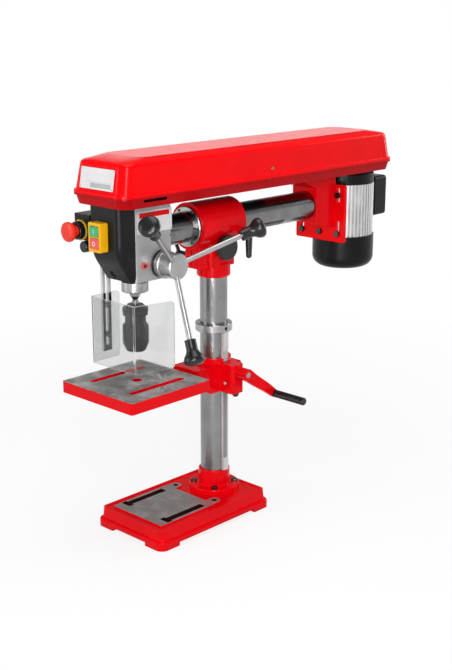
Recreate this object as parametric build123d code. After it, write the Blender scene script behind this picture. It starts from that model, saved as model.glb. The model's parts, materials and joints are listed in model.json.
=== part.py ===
from build123d import *
import os
from math import acos, cos, pi, radians, sin, sqrt, tan

# A bench radial drilling machine, in millimetres. +X is the operator's right (feed levers and crank),
# -Y is the front (drill head), +Y the rear (motor) and +Z up. The origin is on the bench, under the column.

# Fits, gear teeth, how far a cut runs past a face, and how far joined castings reach into each other
running = 0.05
seat = 0.02
free = 0.4
backlash = 0.5
pressure_angle = 20
tooth_foot = 1.25
past = 1
lap = 8

# Column, base and flange
column_d = 60
column_wall = 6
base_w = 207
base_front = 260
base_back = 75
base_h = 43
base_deck = 10
base_corner_r = 18
base_draft = 6
base_wall = 9
skirt_h = 19
skirt_ledge = 5
skirt_round = 5
pad_corner_r = 4
foot_gap = 8
foot_len = 52
rim_h = 2
rim_w = 5
pad_half = 76
pad_front = 235
pad_back = 76
pad_rise = 3
base_slot_x = 61
base_slot_w = 15.5
base_slot_front = 213
base_slot_back = 99
slot_head_w = 26
slot_head_len = 13
ear_y = 62
ear_r = 13
bench_hole_d = 11
flange_d = 112
flange_t = 12
flange_fillet = 3
collar_chamfer = 2
collar_d = 70
collar_h = 49
flange_pcd = 92
flange_bolt_count = 4
bolt_d = 8
bolt_head_w = 13
bolt_head_h = 5.5
bolt_len = 28
bolt_tip_gap = 1
bolt_chamfer = 0.6

# Rack, ring and table drive
rack_module = 1.5
rack_w = 14
rack_depth = 8
rack_foot = 1
rack_plain_foot = 28
rack_plain_head = 40
rack_backing = 4
ring_d = 81
ring_h = 18
ring_z = 409
ring_chamfer = 1.5
ring_screw_d = 8
ring_screw_turn = -4
gear_teeth = 20
gear_w = 10
gear_pin_d = 10
worm_r = 10
worm_turns = 3
worm_end = 3
worm_shaft_d = 12
worm_bite = 0.2
gear_room = 1

# Table
table_size = 216
table_t = 24
table_top = 345
table_corner_r = 6
table_ahead = 2.5
table_hole_d = 20
table_slot_x = 59
table_slot_w = 14
table_slot_len = 148
table_slot_back = 4
neck_half = 37
neck_root_half = 60
neck_setback = 33
neck_drop = 5.5
neck_web_drop = 14
neck_foot = 46
clamp_d = 76
bracket_rise = 6
bracket_drop = 66
gear_drop = 44
gearbox_out = 75
gearbox_half = 18
gearbox_drop = 2
gearbox_corner_r = 8
crank_boss_d = 26
crank_boss_len = 9
table_lug_half = 17
table_lug_back = 70
table_lug_low = 2
table_lug_drop = 22
table_lug_r = 8
table_lock_in = 13
table_lock_drop = 44
split_w = 3

# Crank and table lock
crank_hub_d = 27
crank_hub_len = 20
crank_len = 92
crank_angle = -37
crank_arm_t = 9
crank_bend = 11
crank_bend_from = 0.2
crank_bend_to = 0.75
crank_end_d = 18
grip_d = 17
grip_len = 84
grip_axle_d = 8
grip_end = 12
grip_round = 3
lock_stud_d = 10
lock_bar_d = 8
lock_bar_len = 84
lock_ball_d = 16
lock_bar_fall = 58
lock_hub_d = 16
lock_hub_len = 22
lock_bar_out = 13
lock_nut_d = 20
lock_nut_t = 8
lock_tip_gap = 2

# Spindle line, motor line and ram line
spindle_reach = 226.5
motor_reach = 446
ram_z = 646
ram_d = 65
ram_wall = 7
ram_module = 1.5
ram_rack_angle = 120
ram_travel_out = 200
ram_travel_in = 80
column_under_pinion = 7

# Arm housing
arm_collar_d = 73
arm_collar_h = 33
arm_collar_drop = 116
arm_collar_foot = 3
arm_collar_edge = 4
arm_neck_half = 33
arm_neck_front = 40
arm_neck_back = 38
arm_neck_r = 14
arm_sleeve_d = 100
arm_front = 76
arm_back = 51
arm_round = 2
bush_wall = 3.5
bush_end = 18
arm_ring_d = 84
arm_ring_t = 6
arm_lug_half = 22
arm_lug_front = 66
arm_lug_h = 50
arm_lug_r = 6
arm_lug_bridge = 12
ram_pinion_teeth = 20
ram_pinion_w = 14
bush_window_angle = 130
bush_window_room = 2
arm_ring_edge = 1
ram_pinion_y = -15
ram_shaft_d = 12
ram_knob_d = 54
ram_knob_t = 14
ram_boss_out = 47
ram_boss_d = 28
ram_knob_round = 2.5
ram_knob_web = 2
ram_lock_y = 36
ram_lock_drop = 17
ram_lock_len = 57
ram_lock_boss_d = 20
ram_lock_boss_out = 3
ram_lock_hub_d = 17
ram_lock_hub_gap = 6
ram_lock_hub_len = 21
ram_lock_grip_d = 16
ram_lock_grip_end_d = 12
ram_lock_grip_out = 17
swivel_lock_in = 14
swivel_lock_rise = 15
swivel_lock_skin = 4
swivel_hub_d = 14
swivel_hub_len = 34
swivel_lever_out = 28.5
swivel_lever_lean = 13.8
swivel_lever_rise = 32.2

# Drill head
head_half = 46
head_front = 37
head_back = 59.5
head_drop = 84
head_socket = 28
head_edge_r = 3
quill_head_room = 3
pinion_room = 1
pan_rise = 70
cover_depth = 42
cover_wall = 3
cover_chin_run = 38
cover_chin_rise = 56
cover_chin_r = 80
cover_corner_r = 14
cover_top_gap = 2
quill_d = 48
quill_len = 128
quill_collar_d = 55
quill_collar_h = 22
bumper_h = 6
quill_body_in = 4
spare_teeth = 3
feed_module = 1.25
feed_teeth = 14
feed_pinion_w = 16
feed_drop = 53
feed_turns = 1
feed_shaft_d = 18
depth_ring_d = 57
depth_ring_w = 18
depth_ring_wall = 12
hub_d = 52
hub_face = 97
hub_chamfer = 1.5
hub_shaft_in = 12
feed_rod_d = 11
feed_rod_count = 3
feed_rod_start = 22
feed_rod_in = 14
feed_knob_reach = 168
feed_knob_out = 62
feed_knob_d = 42
feed_knob_len = 52
feed_knob_past = 18
feed_knob_neck_d = 23
feed_knob_neck_share = 0.32
feed_knob_flare_at = 0.52
feed_knob_flare = 0.3
feed_knob_wide_at = 0.8
feed_knob_brow_at = 0.95
feed_knob_brow = 0.74
spring_cap_d = 62
spring_cap_w = 17
spring_cap_wall = 3
spring_strip_w = 9
spring_gap = 2
pointer_drop = 51
pointer_ahead = 19
pointer_d = 14
pointer_tip_d = 5
pointer_len = 10
pointer_t = 3
pointer_screw_d = 7
pointer_screw_t = 2

# Spindle and chuck
spindle_d = 20
spline_d = 16
nose_d = 24
nose_neck_d = 14
nose_len = 27
nose_groove = 1.5
nose_groove_low = 7
nose_groove_high = 10
nose_cone_high = 18
spline_short = 4
bearing_d = 38
bearing_w = 12
chuck_top_d = 39
chuck_top_h = 6
chuck_flange_d = 50
chuck_flange_h = 10
chuck_waist_d = 41
chuck_waist_h = 24
chuck_sleeve_d = 51
chuck_sleeve_h = 40
chuck_nose_d = 35
chuck_nose_h = 17
chuck_core_d = 27
chuck_bore_d = 16
chuck_top_lean = 3
chuck_core_in = 1
chuck_ridge_h = 5
chuck_ridge_lean = 2
chuck_shoulder = 3
chuck_lip = 2
jaw_count = 3
jaw_w = 5
jaw_r = 5
jaw_rest_r = 3.2
jaw_len = 34
jaw_out = 2

# Control box, switch and guard
control_w = 45
control_depth = 60
control_h = 52
control_drop = 6
control_set = 2
box_edge_r = 3
box_wall = 2.5
estop_d = 40
estop_cap_t = 17
estop_stem_d = 24
estop_out = 20
estop_in = 20
estop_low = 6
estop_round = 5
estop_back = 3
estop_stem_in = 12
estop_collar_d = 42
estop_collar_t = 3
switch_w = 36
switch_h = 58
switch_t = 20
switch_x = -4
switch_rise = 10
button_w = 24
button_h = 20
button_out = 2
button_travel = 3
button_gap = 4
button_corner_r = 2
rail_w = 22
rail_t = 6
rail_len = 214
rail_slot_w = 8
rail_side = 60
rail_back = 26
rail_pin_d = 12
rail_slot_low = 12
rail_slot_high = 40
lug_h = 22
lug_round_pin = 14
guard_t = 3.5
guard_h = 138
guard_front = 71
guard_right = 76
guard_side_len = 92
guard_splay = 12
guard_left_len = 76
guard_top_drop = 36
guard_bend_r = 8
guard_corner_r = 8
guard_screw_gap = 62
guard_screw_rise = 12
screw_head_d = 11
screw_head_h = 3
screw_d = 6
screw_round = 1
screw_tip = 4
guard_knob_d = 23
guard_knob_t = 18
guard_stud_d = 7
guard_stud_len = 13
guard_stud_in = 4
guard_knob_side = 4
guard_knob_gap = 2
guard_knob_round = 2
lug_ahead = 34

# Belt cover
pan_half = 80
pan_front = 94
pan_back = 83
pan_h = 21
pan_taper_side = 4
pan_taper_end = 5
pan_corner_r = 26
lip_out = 3
lip_h = 8
lip_t = 3
pan_hole_gap = 4
lid_wall_h = 58
lid_lean = 5
lid_lean_end = 10
lid_crown_h = 7
lid_crown_in = 18
lid_crown_end = 52
lid_edge_r = 10
lid_edge_steps = 4
sheet = 3
hinge_d = 9
hinge_pin_d = 4
hinge_len = 40
hinge_out = 7
hinge_ear = 8
hinge_pin_in = 2
hinge_leaf_t = 3
hinge_pan_t = 4
hinge_spread = 0.56

# Pulleys and belt
step_h = 12
spindle_steps = (38, 44, 50, 56, 62)
step_sum = 84
belt_step = 2
belt_w = 8
belt_t = 7
groove_depth = 8
groove_flare = 1.4
pulley_hub_gap = 5
pulley_lift = 12
pulley_hub_d = 30

# Rear bracket and motor
bracket_ahead = 146
bracket_half = 45
socket_half = 36
socket_drop = 40
socket_depth = 22
bracket_len = 57
bracket_bottom_drop = 54
flange_ahead = 108
rear_flange_t = 9
gusset_len = 45
gusset_h = 20
plate_half = 72
plate_t = 8
plate_drop = 88
plate_rise = 46
plate_slot_x = 53
plate_slot_w = 9
plate_slot_len = 36
plate_slot_inset = 24
plate_slot_low = 33
plate_bolt_low = 20
plate_corner_r = 5
motor_bolt_in = 10
motor_d = 140
motor_core_d = 134
motor_h = 123
motor_bottom_drop = 83
motor_fins = 48
motor_fin_w = 4.6
motor_pad_half = 46
motor_pad_inset = 6
rotor_d = 70
rotor_air = 0.6
rotor_h = 90
motor_shaft_d = 14
bell_h = 26
bell_d = 139
bell_round = 4
fan_cover_d = 146
fan_cover_h = 78
fan_cover_r = 26
fan_d = 108
fan_h = 16
fan_disc_t = 3
fan_hub_d = 36
fan_blade_count = 8
fan_blade_t = 3
fan_blade_in = 10
fan_tip_gap = 1
shaft_end = 4
shaft_over = 3
vent_count = 12
vent_reach = 28
vent_len = 24
vent_w = 5
terminal_half = 40
terminal_depth = 46
terminal_h = 95
terminal_rise = 36
terminal_corner_r = 8
terminal_round = 5

# Places worked out from the sizes above
column_r = column_d / 2
base_len = base_front + base_back
base_mid = (base_back - base_front) / 2
base_floor = base_h - rim_h
base_top_w = base_w - 2 * skirt_ledge - 2 * base_h * tan(radians(base_draft))
base_top_len = base_len - 2 * skirt_ledge - 2 * base_h * tan(radians(base_draft))
pad_top = base_floor + pad_rise
collar_top = base_floor + collar_h
rack_tip = column_r + rack_depth
rack_pitch = pi * rack_module
rack_line = rack_tip - rack_module
gear_r = rack_module * gear_teeth / 2
gear_x = rack_line + gear_r
gear_z = table_top - gear_drop
worm_len = worm_turns * rack_pitch
worm_z = gear_z + gear_r + worm_r
spindle_y = -spindle_reach
motor_y = motor_reach
table_mid = spindle_y - table_ahead
table_back = table_mid + table_size / 2
bracket_top = table_top + bracket_rise
bracket_bottom = table_top - bracket_drop
crank_x = gearbox_out + crank_boss_len + free
grip_y = crank_len * cos(radians(crank_angle))
grip_z = worm_z + crank_len * sin(radians(crank_angle))
ram_r = ram_d / 2
ram_line = ram_r - ram_module
ram_pinion_r = ram_module * ram_pinion_teeth / 2
ram_pinion_z = ram_z - ram_line - ram_pinion_r
arm_bottom = ram_z - arm_collar_drop
arm_collar_top = arm_bottom + arm_collar_h
column_top = ram_pinion_z - ram_pinion_r - column_under_pinion
bush_r = ram_r + running + bush_wall
head_bottom = ram_z - head_drop
pan_bottom = ram_z + pan_rise
head_y = (spindle_y - head_front, spindle_y + head_back)
cover_front = head_y[0] - cover_depth
feed_r = feed_module * feed_teeth / 2
feed_y = spindle_y + quill_d / 2 - feed_module + feed_r
feed_z = ram_z - feed_drop
feed_travel = 2 * pi * feed_r * feed_turns
quill_top = head_bottom + quill_len
quill_end = head_bottom - bumper_h - quill_collar_h
chuck_top = quill_end - nose_len
chuck_flange_z = chuck_top - chuck_top_h
chuck_sleeve_top = chuck_flange_z - chuck_flange_h
chuck_bottom = chuck_sleeve_top - chuck_waist_h - chuck_sleeve_h - chuck_nose_h
control_x = (-head_half - control_w, -head_half)
control_y = (cover_front + control_set, cover_front + control_set + control_depth)
control_z = (ram_z - control_drop, ram_z - control_drop + control_h)
estop_x = control_x[0] + estop_in
estop_z = control_z[0] + control_h / 2 - estop_low
switch_z = (ram_z - switch_h / 2 + switch_rise, ram_z + switch_h / 2 + switch_rise)
rail_y = spindle_y - rail_back
rail_top = control_z[0] - lug_h - free
rail_bottom = rail_top - rail_len
guard_knob_x = -rail_side - guard_knob_side
guard_knob_z = control_z[0] - guard_knob_d / 2 - guard_knob_gap
guard_top = head_bottom - guard_top_drop
guard_y = spindle_y - guard_front
guard_left = -rail_side + rail_t / 2
pan_y = (spindle_y - pan_front, motor_y + pan_back)
pan_mid = (pan_y[0] + pan_y[1]) / 2
pan_len = pan_y[1] - pan_y[0]
lip_z = pan_bottom + pan_h
lid_top = lip_z + lip_h + lid_wall_h + lid_crown_h
pulley_z = pan_bottom + pulley_lift
motor_steps = tuple(step_sum - radius for radius in spindle_steps)
belt_z = pulley_z + (belt_step + 0.5) * step_h
bracket_y = (motor_y - bracket_ahead, motor_y - bracket_ahead + bracket_len)
bracket_z = (ram_z - bracket_bottom_drop, pan_bottom)
plate_y = (bracket_y[1], bracket_y[1] + plate_t)
plate_z = (ram_z - plate_drop, ram_z + plate_rise)
motor_z = (ram_z - motor_bottom_drop, ram_z - motor_bottom_drop + motor_h)
fan_cover_z = motor_z[0] - fan_cover_h
fan_z = motor_z[0] - free - fan_h


def block(x, y, z):
    """A box between two coordinates on each axis."""
    middle = ((x[0] + x[1]) / 2, (y[0] + y[1]) / 2, (z[0] + z[1]) / 2)
    return Pos(*middle) * Box(x[1] - x[0], y[1] - y[0], z[1] - z[0])


def soft_block(x, y, z, radius, axis=Axis.Z):
    """A box whose edges along one axis are rounded."""
    solid = block(x, y, z)
    return fillet(solid.edges().filter_by(axis), radius)


def post(radius, z, x=0, y=0):
    """A round bar that stands upright."""
    return Pos(x, y, (z[0] + z[1]) / 2) * Cylinder(radius, z[1] - z[0])


def bar_x(radius, x, y, z):
    """A round bar along X."""
    return Pos((x[0] + x[1]) / 2, y, z) * Rot(0, 90, 0) * Cylinder(radius, x[1] - x[0])


def bar_y(radius, y, x, z):
    """A round bar along Y."""
    return Pos(x, (y[0] + y[1]) / 2, z) * Rot(90, 0, 0) * Cylinder(radius, y[1] - y[0])


def turned(points, x=0, y=0):
    """A piece turned about an upright axis, from radius and height points."""
    outline = make_face(Polyline(*points, close=True))
    return Pos(x, y, 0) * revolve(Plane.XZ * outline, Axis.Z)


def turned_x(points, y, z):
    """A piece turned about an axis along X, from radius and X points."""
    outline = make_face(Polyline(*points, close=True))
    return Pos(0, y, z) * Rot(0, 90, 0) * revolve(Plane.XZ * outline, Axis.Z)


def side_prism(points, x):
    """A side outline of Y and Z points, extruded along X."""
    outline = Plane.YZ * make_face(Polyline(*points, close=True))
    return Pos(x[0], 0, 0) * extrude(outline, x[1] - x[0])


def plan_prism(sketch, z):
    """A plan outline extruded upwards."""
    return Pos(0, 0, z[0]) * extrude(sketch, z[1] - z[0])


def round_rect(width, length, radius, y):
    """A rounded rectangle in plan, centred on the machine's mid plane."""
    return Pos(0, y) * RectangleRounded(width, length, radius)


def round_slot(width, length, x, y):
    """A round-ended slot along Y, in plan."""
    return Pos(x, y) * Rot(0, 0, 90) * SlotOverall(length, width)


def gear_outline(module, teeth, slack):
    """An involute spur gear's outline, with a tooth pointing along +X."""
    pitch_r = module * teeth / 2
    base_r = pitch_r * cos(radians(pressure_angle))
    tip_r = pitch_r + module
    root_r = pitch_r - tooth_foot * module
    spread = tan(radians(pressure_angle)) - radians(pressure_angle)
    half_tooth = pi / (2 * teeth) - slack / (2 * pitch_r)
    start_r = max(base_r, root_r)
    flank = []
    for step in range(4):
        radius = start_r + (tip_r - start_r) * step / 3
        roll = acos(min(1, base_r / radius))
        flank.append((radius, half_tooth + spread - (tan(roll) - roll)))
    profile = [(root_r, -flank[0][1])]
    profile += [(radius, -angle) for radius, angle in flank]
    profile += [(radius, angle) for radius, angle in reversed(flank)]
    profile += [(root_r, flank[0][1])]
    points = []
    for tooth in range(teeth):
        turn = 2 * pi * tooth / teeth
        points += [(r * cos(turn + a), r * sin(turn + a)) for r, a in profile]
    return make_face(Polyline(*points, close=True))


def tooth_gap(module, slack):
    """Half widths of a rack's tooth gap at its mouth and floor, and its depth beyond the tips."""
    middle = pi * module / 4 + slack / 2
    lean = tan(radians(pressure_angle))
    return middle + module * lean, middle - tooth_foot * module * lean, (1 + tooth_foot) * module


def ball_lever(start, end, bar_r, ball_r):
    """A straight round bar with a ball on its far end."""
    line = Line(start, end)
    bar = sweep(Plane(origin=line @ 0, z_dir=line % 0) * Circle(bar_r), line)
    return bar + Pos(*end) * Sphere(ball_r)


# Base and column
def base_slot(side):
    """One keyed clamping slot of the base: a long slot with a wide entry at its front."""
    x = side * base_slot_x
    tall = (0, base_h * 2)
    body_x = (x - base_slot_w / 2, x + base_slot_w / 2)
    head_x = (x - slot_head_w / 2, x + slot_head_w / 2)
    body = block(body_x, (-base_slot_front, -base_slot_back), tall)
    return body + block(head_x, (-base_slot_front, -base_slot_front + slot_head_len), tall)


def base_casting():
    outline = round_rect(base_w, base_len, base_corner_r, base_mid)
    skirt = extrude(outline, skirt_h)
    skirt = fillet(skirt.edges().group_by(Axis.Z)[-1], skirt_round)
    ledge = 2 * skirt_ledge
    shoulder = round_rect(base_w - ledge, base_len - ledge, base_corner_r - skirt_ledge, base_mid)
    body = extrude(shoulder, base_h, taper=base_draft)
    solid = skirt + body
    rim = round_rect(base_top_w - 2 * rim_w, base_top_len - 2 * rim_w, base_corner_r / 2, base_mid)
    solid -= plan_prism(rim, (base_floor, base_h * 2))
    inner_w, inner_len = base_top_w - 2 * base_wall, base_top_len - 2 * base_wall
    hollow = round_rect(inner_w, inner_len, base_corner_r / 2, base_mid)
    solid -= plan_prism(hollow, (0, base_floor - base_deck))
    cross_x = base_w / 2 - foot_len
    solid -= block((-cross_x, cross_x), (-base_front - past, base_back + past), (0, foot_gap))
    solid -= block((-base_w, base_w), (-base_front + foot_len, base_back - foot_len), (0, foot_gap))
    solid += post(flange_d / 2, (foot_gap, base_floor))
    pad = round_rect(2 * pad_half, pad_front - pad_back, pad_corner_r, -(pad_front + pad_back) / 2)
    for side in (-1, 1):
        pad += Pos(side * base_slot_x, -ear_y) * Circle(ear_r)
        ear_middle = -(ear_y + pad_back) / 2
        pad += Pos(side * base_slot_x, ear_middle) * Rectangle(2 * ear_r, pad_back - ear_y + lap)
    solid += plan_prism(pad, (base_floor, pad_top))
    for side in (-1, 1):
        solid -= base_slot(side)
        solid -= post(bench_hole_d / 2, (0, base_h * 2), side * base_slot_x, -ear_y)
    return solid - flange_bolt_holes()


def flange_bolt_places():
    """The flange bolts stand on a circle, on the diagonals."""
    return PolarLocations(flange_pcd / 2, flange_bolt_count, 180 / flange_bolt_count)


def flange_bolt_holes():
    deep = base_floor + flange_t
    hole = post(bolt_d / 2 + seat, (deep - bolt_len, deep + past))
    return [place * hole for place in flange_bolt_places()]


def column_flange():
    foot = post(flange_d / 2, (base_floor, base_floor + flange_t))
    foot = fillet(foot.edges().group_by(Axis.Z)[-1], flange_fillet)
    collar = post(collar_d / 2, (base_floor, collar_top))
    collar = chamfer(collar.edges().group_by(Axis.Z)[-1], collar_chamfer)
    solid = foot + collar
    inner = solid.edges().filter_by(GeomType.CIRCLE)
    corner = inner.filter_by(lambda e: abs(e.radius - collar_d / 2) < 0.01).sort_by(Axis.Z)[0]
    solid = fillet(corner, flange_fillet)
    return solid - post(column_r + seat, (0, collar_top + past)) - flange_bolt_holes()


def flange_bolts():
    top = base_floor + flange_t
    head = Pos(0, 0, top) * extrude(RegularPolygon(bolt_head_w / 2, 6, major_radius=False), bolt_head_h)
    head = chamfer(head.edges().group_by(Axis.Z)[-1], bolt_chamfer)
    bolt = head + post(bolt_d / 2, (top - bolt_len + bolt_tip_gap, top))
    return [place * bolt for place in flange_bolt_places()]


def column():
    return post(column_r, (base_floor, column_top)) - post(column_r - column_wall, (base_floor, column_top))


# Rack, ring and table
def rack():
    low, high = collar_top + rack_foot, ring_z
    mouth, floor, depth = tooth_gap(rack_module, backlash)
    first = int((gear_z - low - rack_plain_foot) / rack_pitch)
    last = int((high - rack_plain_head - gear_z) / rack_pitch)
    points = [(column_r - rack_backing, low), (rack_tip, low)]
    for tooth in range(-first, last + 1):
        z = gear_z + tooth * rack_pitch
        points += [(rack_tip, z - mouth), (rack_tip - depth, z - floor)]
        points += [(rack_tip - depth, z + floor), (rack_tip, z + mouth)]
    points += [(rack_tip, high), (column_r - rack_backing, high)]
    outline = Plane.XZ * make_face(Polyline(*points, close=True))
    bar = extrude(outline, rack_w / 2, both=True)
    return bar - post(column_r + free, (low - past, high + past))


def rack_ring():
    ring = post(ring_d / 2, (ring_z, ring_z + ring_h))
    ring = chamfer(ring.edges().filter_by(GeomType.CIRCLE), ring_chamfer)
    ring -= post(column_r + running, (ring_z - past, ring_z + ring_h + past))
    screw_hole = bar_x(ring_screw_d / 2, (column_r, ring_d), 0, ring_z + ring_h / 2)
    return ring - Rot(0, 0, ring_screw_turn) * screw_hole


def neck_plan(front):
    """The plan of the table's arm: it narrows behind the plate and runs straight into the clamp."""
    block_y = table_back + neck_setback
    middle = ((neck_root_half + neck_half) / 2 - neck_setback / 4, (table_back + block_y) / 2)
    right = ThreePointArc((neck_root_half, table_back), middle, (neck_half, block_y))
    left = ThreePointArc((-neck_half, block_y), (-middle[0], middle[1]), (-neck_root_half, table_back))
    far = Polyline((neck_half, block_y), (neck_half, 0), (-neck_half, 0), (-neck_half, block_y))
    near = Polyline((-neck_root_half, table_back), (-neck_root_half, front), (neck_root_half, front),
                    (neck_root_half, table_back))
    return make_face([right, far, left, near])


def table_neck():
    """The table's arm: a low web behind the plate, a raised block at the clamp and a sloped underside."""
    front = table_back - lap
    block_y, web_z = table_back + neck_setback, table_top - neck_web_drop
    low = [(front, table_top - table_t), (-neck_foot, bracket_bottom), (0, bracket_bottom)]
    high = [(0, table_top - neck_drop), (block_y, table_top - neck_drop), (block_y, web_z), (front, web_z)]
    side = side_prism(low + high, (-table_size / 2, table_size / 2))
    return side & plan_prism(neck_plan(front), (0, table_top * 2))


def table_casting():
    plate = soft_block((-table_size / 2, table_size / 2), (table_back - table_size, table_back),
                       (table_top - table_t, table_top), table_corner_r)
    solid = plate + table_neck()
    solid += post(clamp_d / 2, (bracket_bottom, bracket_top))
    gearbox_z = (bracket_bottom, table_top - gearbox_drop)
    solid += soft_block((0, gearbox_out), (-gearbox_half, gearbox_half), gearbox_z, gearbox_corner_r)
    solid += bar_x(crank_boss_d / 2, (gearbox_out - lap, gearbox_out + crank_boss_len), 0, worm_z)
    lug_z = (bracket_bottom + table_lug_low, bracket_top - table_lug_drop)
    solid += soft_block((-table_lug_half, table_lug_half), (0, table_lug_back), lug_z, table_lug_r, Axis.X)
    tall = (bracket_bottom - past, bracket_top + past)
    solid -= post(column_r + running, tall)
    solid -= block((0, rack_tip + free), (-rack_w / 2 - free, rack_w / 2 + free), tall)
    solid -= block((-split_w / 2, split_w / 2), (0, table_lug_back + past), tall)
    gear_y = (-gear_w / 2 - free, gear_w / 2 + free)
    solid -= bar_y(gear_r + rack_module + gear_room, gear_y, gear_x, gear_z)
    worm_half = worm_len / 2 + worm_end + gear_room
    worm_x = (gear_x - worm_half, gear_x + worm_half)
    solid -= bar_x(worm_r + rack_module + gear_room, worm_x, 0, worm_z)
    solid -= bar_x(worm_shaft_d / 2 + running, (gear_x, gearbox_out + crank_boss_len + past), 0, worm_z)
    solid -= bar_y(gear_pin_d / 2 + running, (-gearbox_half - past, gearbox_half + past), gear_x, gear_z)
    lug_x = (-table_lug_half - past, table_lug_half + past)
    solid -= bar_x(lock_stud_d / 2 + running, lug_x, *table_lock_place())
    solid -= post(table_hole_d / 2, (0, table_top + past), 0, spindle_y)
    for side in (-1, 1):
        slot = round_slot(table_slot_w, table_slot_len, side * table_slot_x, table_mid + table_slot_back)
        solid -= plan_prism(slot, (0, table_top + past))
    return solid


def table_lock_place():
    return table_lug_back - table_lock_in, table_top - table_lock_drop


def table_gear():
    outline = gear_outline(rack_module, gear_teeth, backlash)
    wheel = extrude(Plane.XZ * Rot(0, 0, 180) * outline, gear_w / 2, both=True)
    wheel = Pos(gear_x, 0, gear_z) * wheel
    return wheel + bar_y(gear_pin_d / 2, (-gearbox_half - past, gearbox_half), gear_x, gear_z)


def worm():
    """A single-start left-hand worm that stands along Z, centred on the origin."""
    root_r = worm_r - tooth_foot * rack_module
    lean = tan(radians(pressure_angle))
    middle = rack_pitch / 2 - backlash
    root_half = middle / 2 + tooth_foot * rack_module * lean
    tip_half = middle / 2 - rack_module * lean
    tall = (1 + tooth_foot) * rack_module
    helix = Helix(pitch=rack_pitch, height=worm_len, radius=root_r, lefthand=True)
    section = Plane(origin=helix @ 0, x_dir=(1, 0, 0), z_dir=helix % 0)
    points = [(-worm_bite, -root_half), (tall, -tip_half), (tall, tip_half), (-worm_bite, root_half)]
    thread = sweep(section * make_face(Polyline(*points, close=True)), path=helix, is_frenet=True)
    core = post(root_r, (-worm_len / 2 - worm_end, worm_len / 2 + worm_end))
    return core + Pos(0, 0, -worm_len / 2) * thread


def crank_shaft():
    """An odd number of turns puts a gap of the thread over the gear's top tooth."""
    thread = Pos(gear_x, 0, worm_z) * Rot(0, 90, 0) * worm()
    return thread + bar_x(worm_shaft_d / 2, (gear_x, crank_x + crank_hub_len), 0, worm_z)


def crank_arm():
    """A hub and a flat arm that is bent outwards on its way to the grip."""
    hub_end = crank_x + crank_hub_len
    hub = bar_x(crank_hub_d / 2, (crank_x, hub_end), 0, worm_z)
    far_end = Pos(crank_len, 0) * Circle(crank_end_d / 2)
    outline = make_hull(Circle(crank_hub_d / 2).edges() + far_end.edges())
    blank = Pos(-crank_arm_t, 0, 0) * extrude(Plane.YZ * outline, crank_arm_t + crank_bend)
    start, end = crank_bend_from * crank_len, crank_bend_to * crank_len
    straight = (0, 1)
    outer = Spline((0, start), (crank_bend, end), tangents=(straight, straight))
    inner = Spline((-crank_arm_t, start), (crank_bend - crank_arm_t, end), tangents=(straight, straight))
    beyond = crank_len + crank_end_d
    tip = Polyline(outer @ 1, (crank_bend, beyond), (crank_bend - crank_arm_t, beyond), inner @ 1)
    foot = Polyline(inner @ 0, (-crank_arm_t, -crank_hub_d), (0, -crank_hub_d), outer @ 0)
    strip = extrude(make_face([outer, tip, inner, foot]), crank_hub_d, both=True)
    web = Pos(hub_end, 0, worm_z) * Rot(crank_angle, 0, 0) * (blank & strip)
    arm_end = hub_end + crank_bend
    axle_x = (arm_end - crank_arm_t, arm_end + free + grip_len - grip_end - past)
    solid = hub + web + bar_x(grip_axle_d / 2, axle_x, grip_y, grip_z)
    bore_x = (crank_x - past, crank_x + crank_hub_len + past)
    return solid - bar_x(worm_shaft_d / 2 + seat, bore_x, 0, worm_z)


def crank_grip():
    start = crank_x + crank_hub_len + crank_bend + free
    x = (start, start + grip_len)
    grip = bar_x(grip_d / 2, x, grip_y, grip_z)
    grip = fillet(grip.edges().sort_by(Axis.X)[-1], grip_round)
    return grip - bar_x(grip_axle_d / 2 + running, (x[0] - past, x[1] - grip_end), grip_y, grip_z)


def table_lock_lever():
    y, z = table_lock_place()
    end = table_lug_half + lock_nut_t
    stud = bar_x(lock_stud_d / 2, (-table_lug_half - lock_bar_out, end), y, z)
    nut = bar_x(lock_nut_d / 2, (table_lug_half + free, end), y, z)
    hub = bar_x(lock_hub_d / 2, (-table_lug_half - lock_hub_len, -table_lug_half - free), y, z)
    foot = (-table_lug_half - lock_bar_out, y, z)
    fall = radians(lock_bar_fall)
    ball = (foot[0], y + lock_bar_len * cos(fall), z - lock_bar_len * sin(fall))
    return stud + nut + hub + ball_lever(foot, ball, lock_bar_d / 2, lock_ball_d / 2)


# Arm, ram guide and ram
def ram_gap_ring():
    """The annular tooth gaps of the ram's round rack, as one turned comb."""
    mouth, floor, depth = tooth_gap(ram_module, backlash)
    pitch = pi * ram_module
    low = -int((ram_travel_in + ram_pinion_r) / pitch)
    high = int((ram_travel_out + ram_pinion_r) / pitch)
    clear = ram_r + seat
    outside = clear + ram_module
    points = [(ram_pinion_y + (low - 1) * pitch, -outside)]
    for tooth in range(low, high + 1):
        y = ram_pinion_y + tooth * pitch
        points += [(y - mouth, -clear), (y - floor, -ram_r + depth)]
        points += [(y + floor, -ram_r + depth), (y + mouth, -clear)]
    points += [(ram_pinion_y + (high + 1) * pitch, -outside)]
    comb = Plane.YZ * make_face(Polyline(*points, close=True))
    start = Rot(0, -ram_rack_angle / 2, 0) * comb
    return Pos(0, 0, ram_z) * revolve(start, Axis.Y, ram_rack_angle)


def ram():
    y = (head_y[1] - head_socket, bracket_y[0] + socket_depth)
    tube = bar_y(ram_r, y, 0, ram_z) - bar_y(ram_r - ram_wall, y, 0, ram_z)
    return tube - ram_gap_ring()


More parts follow.
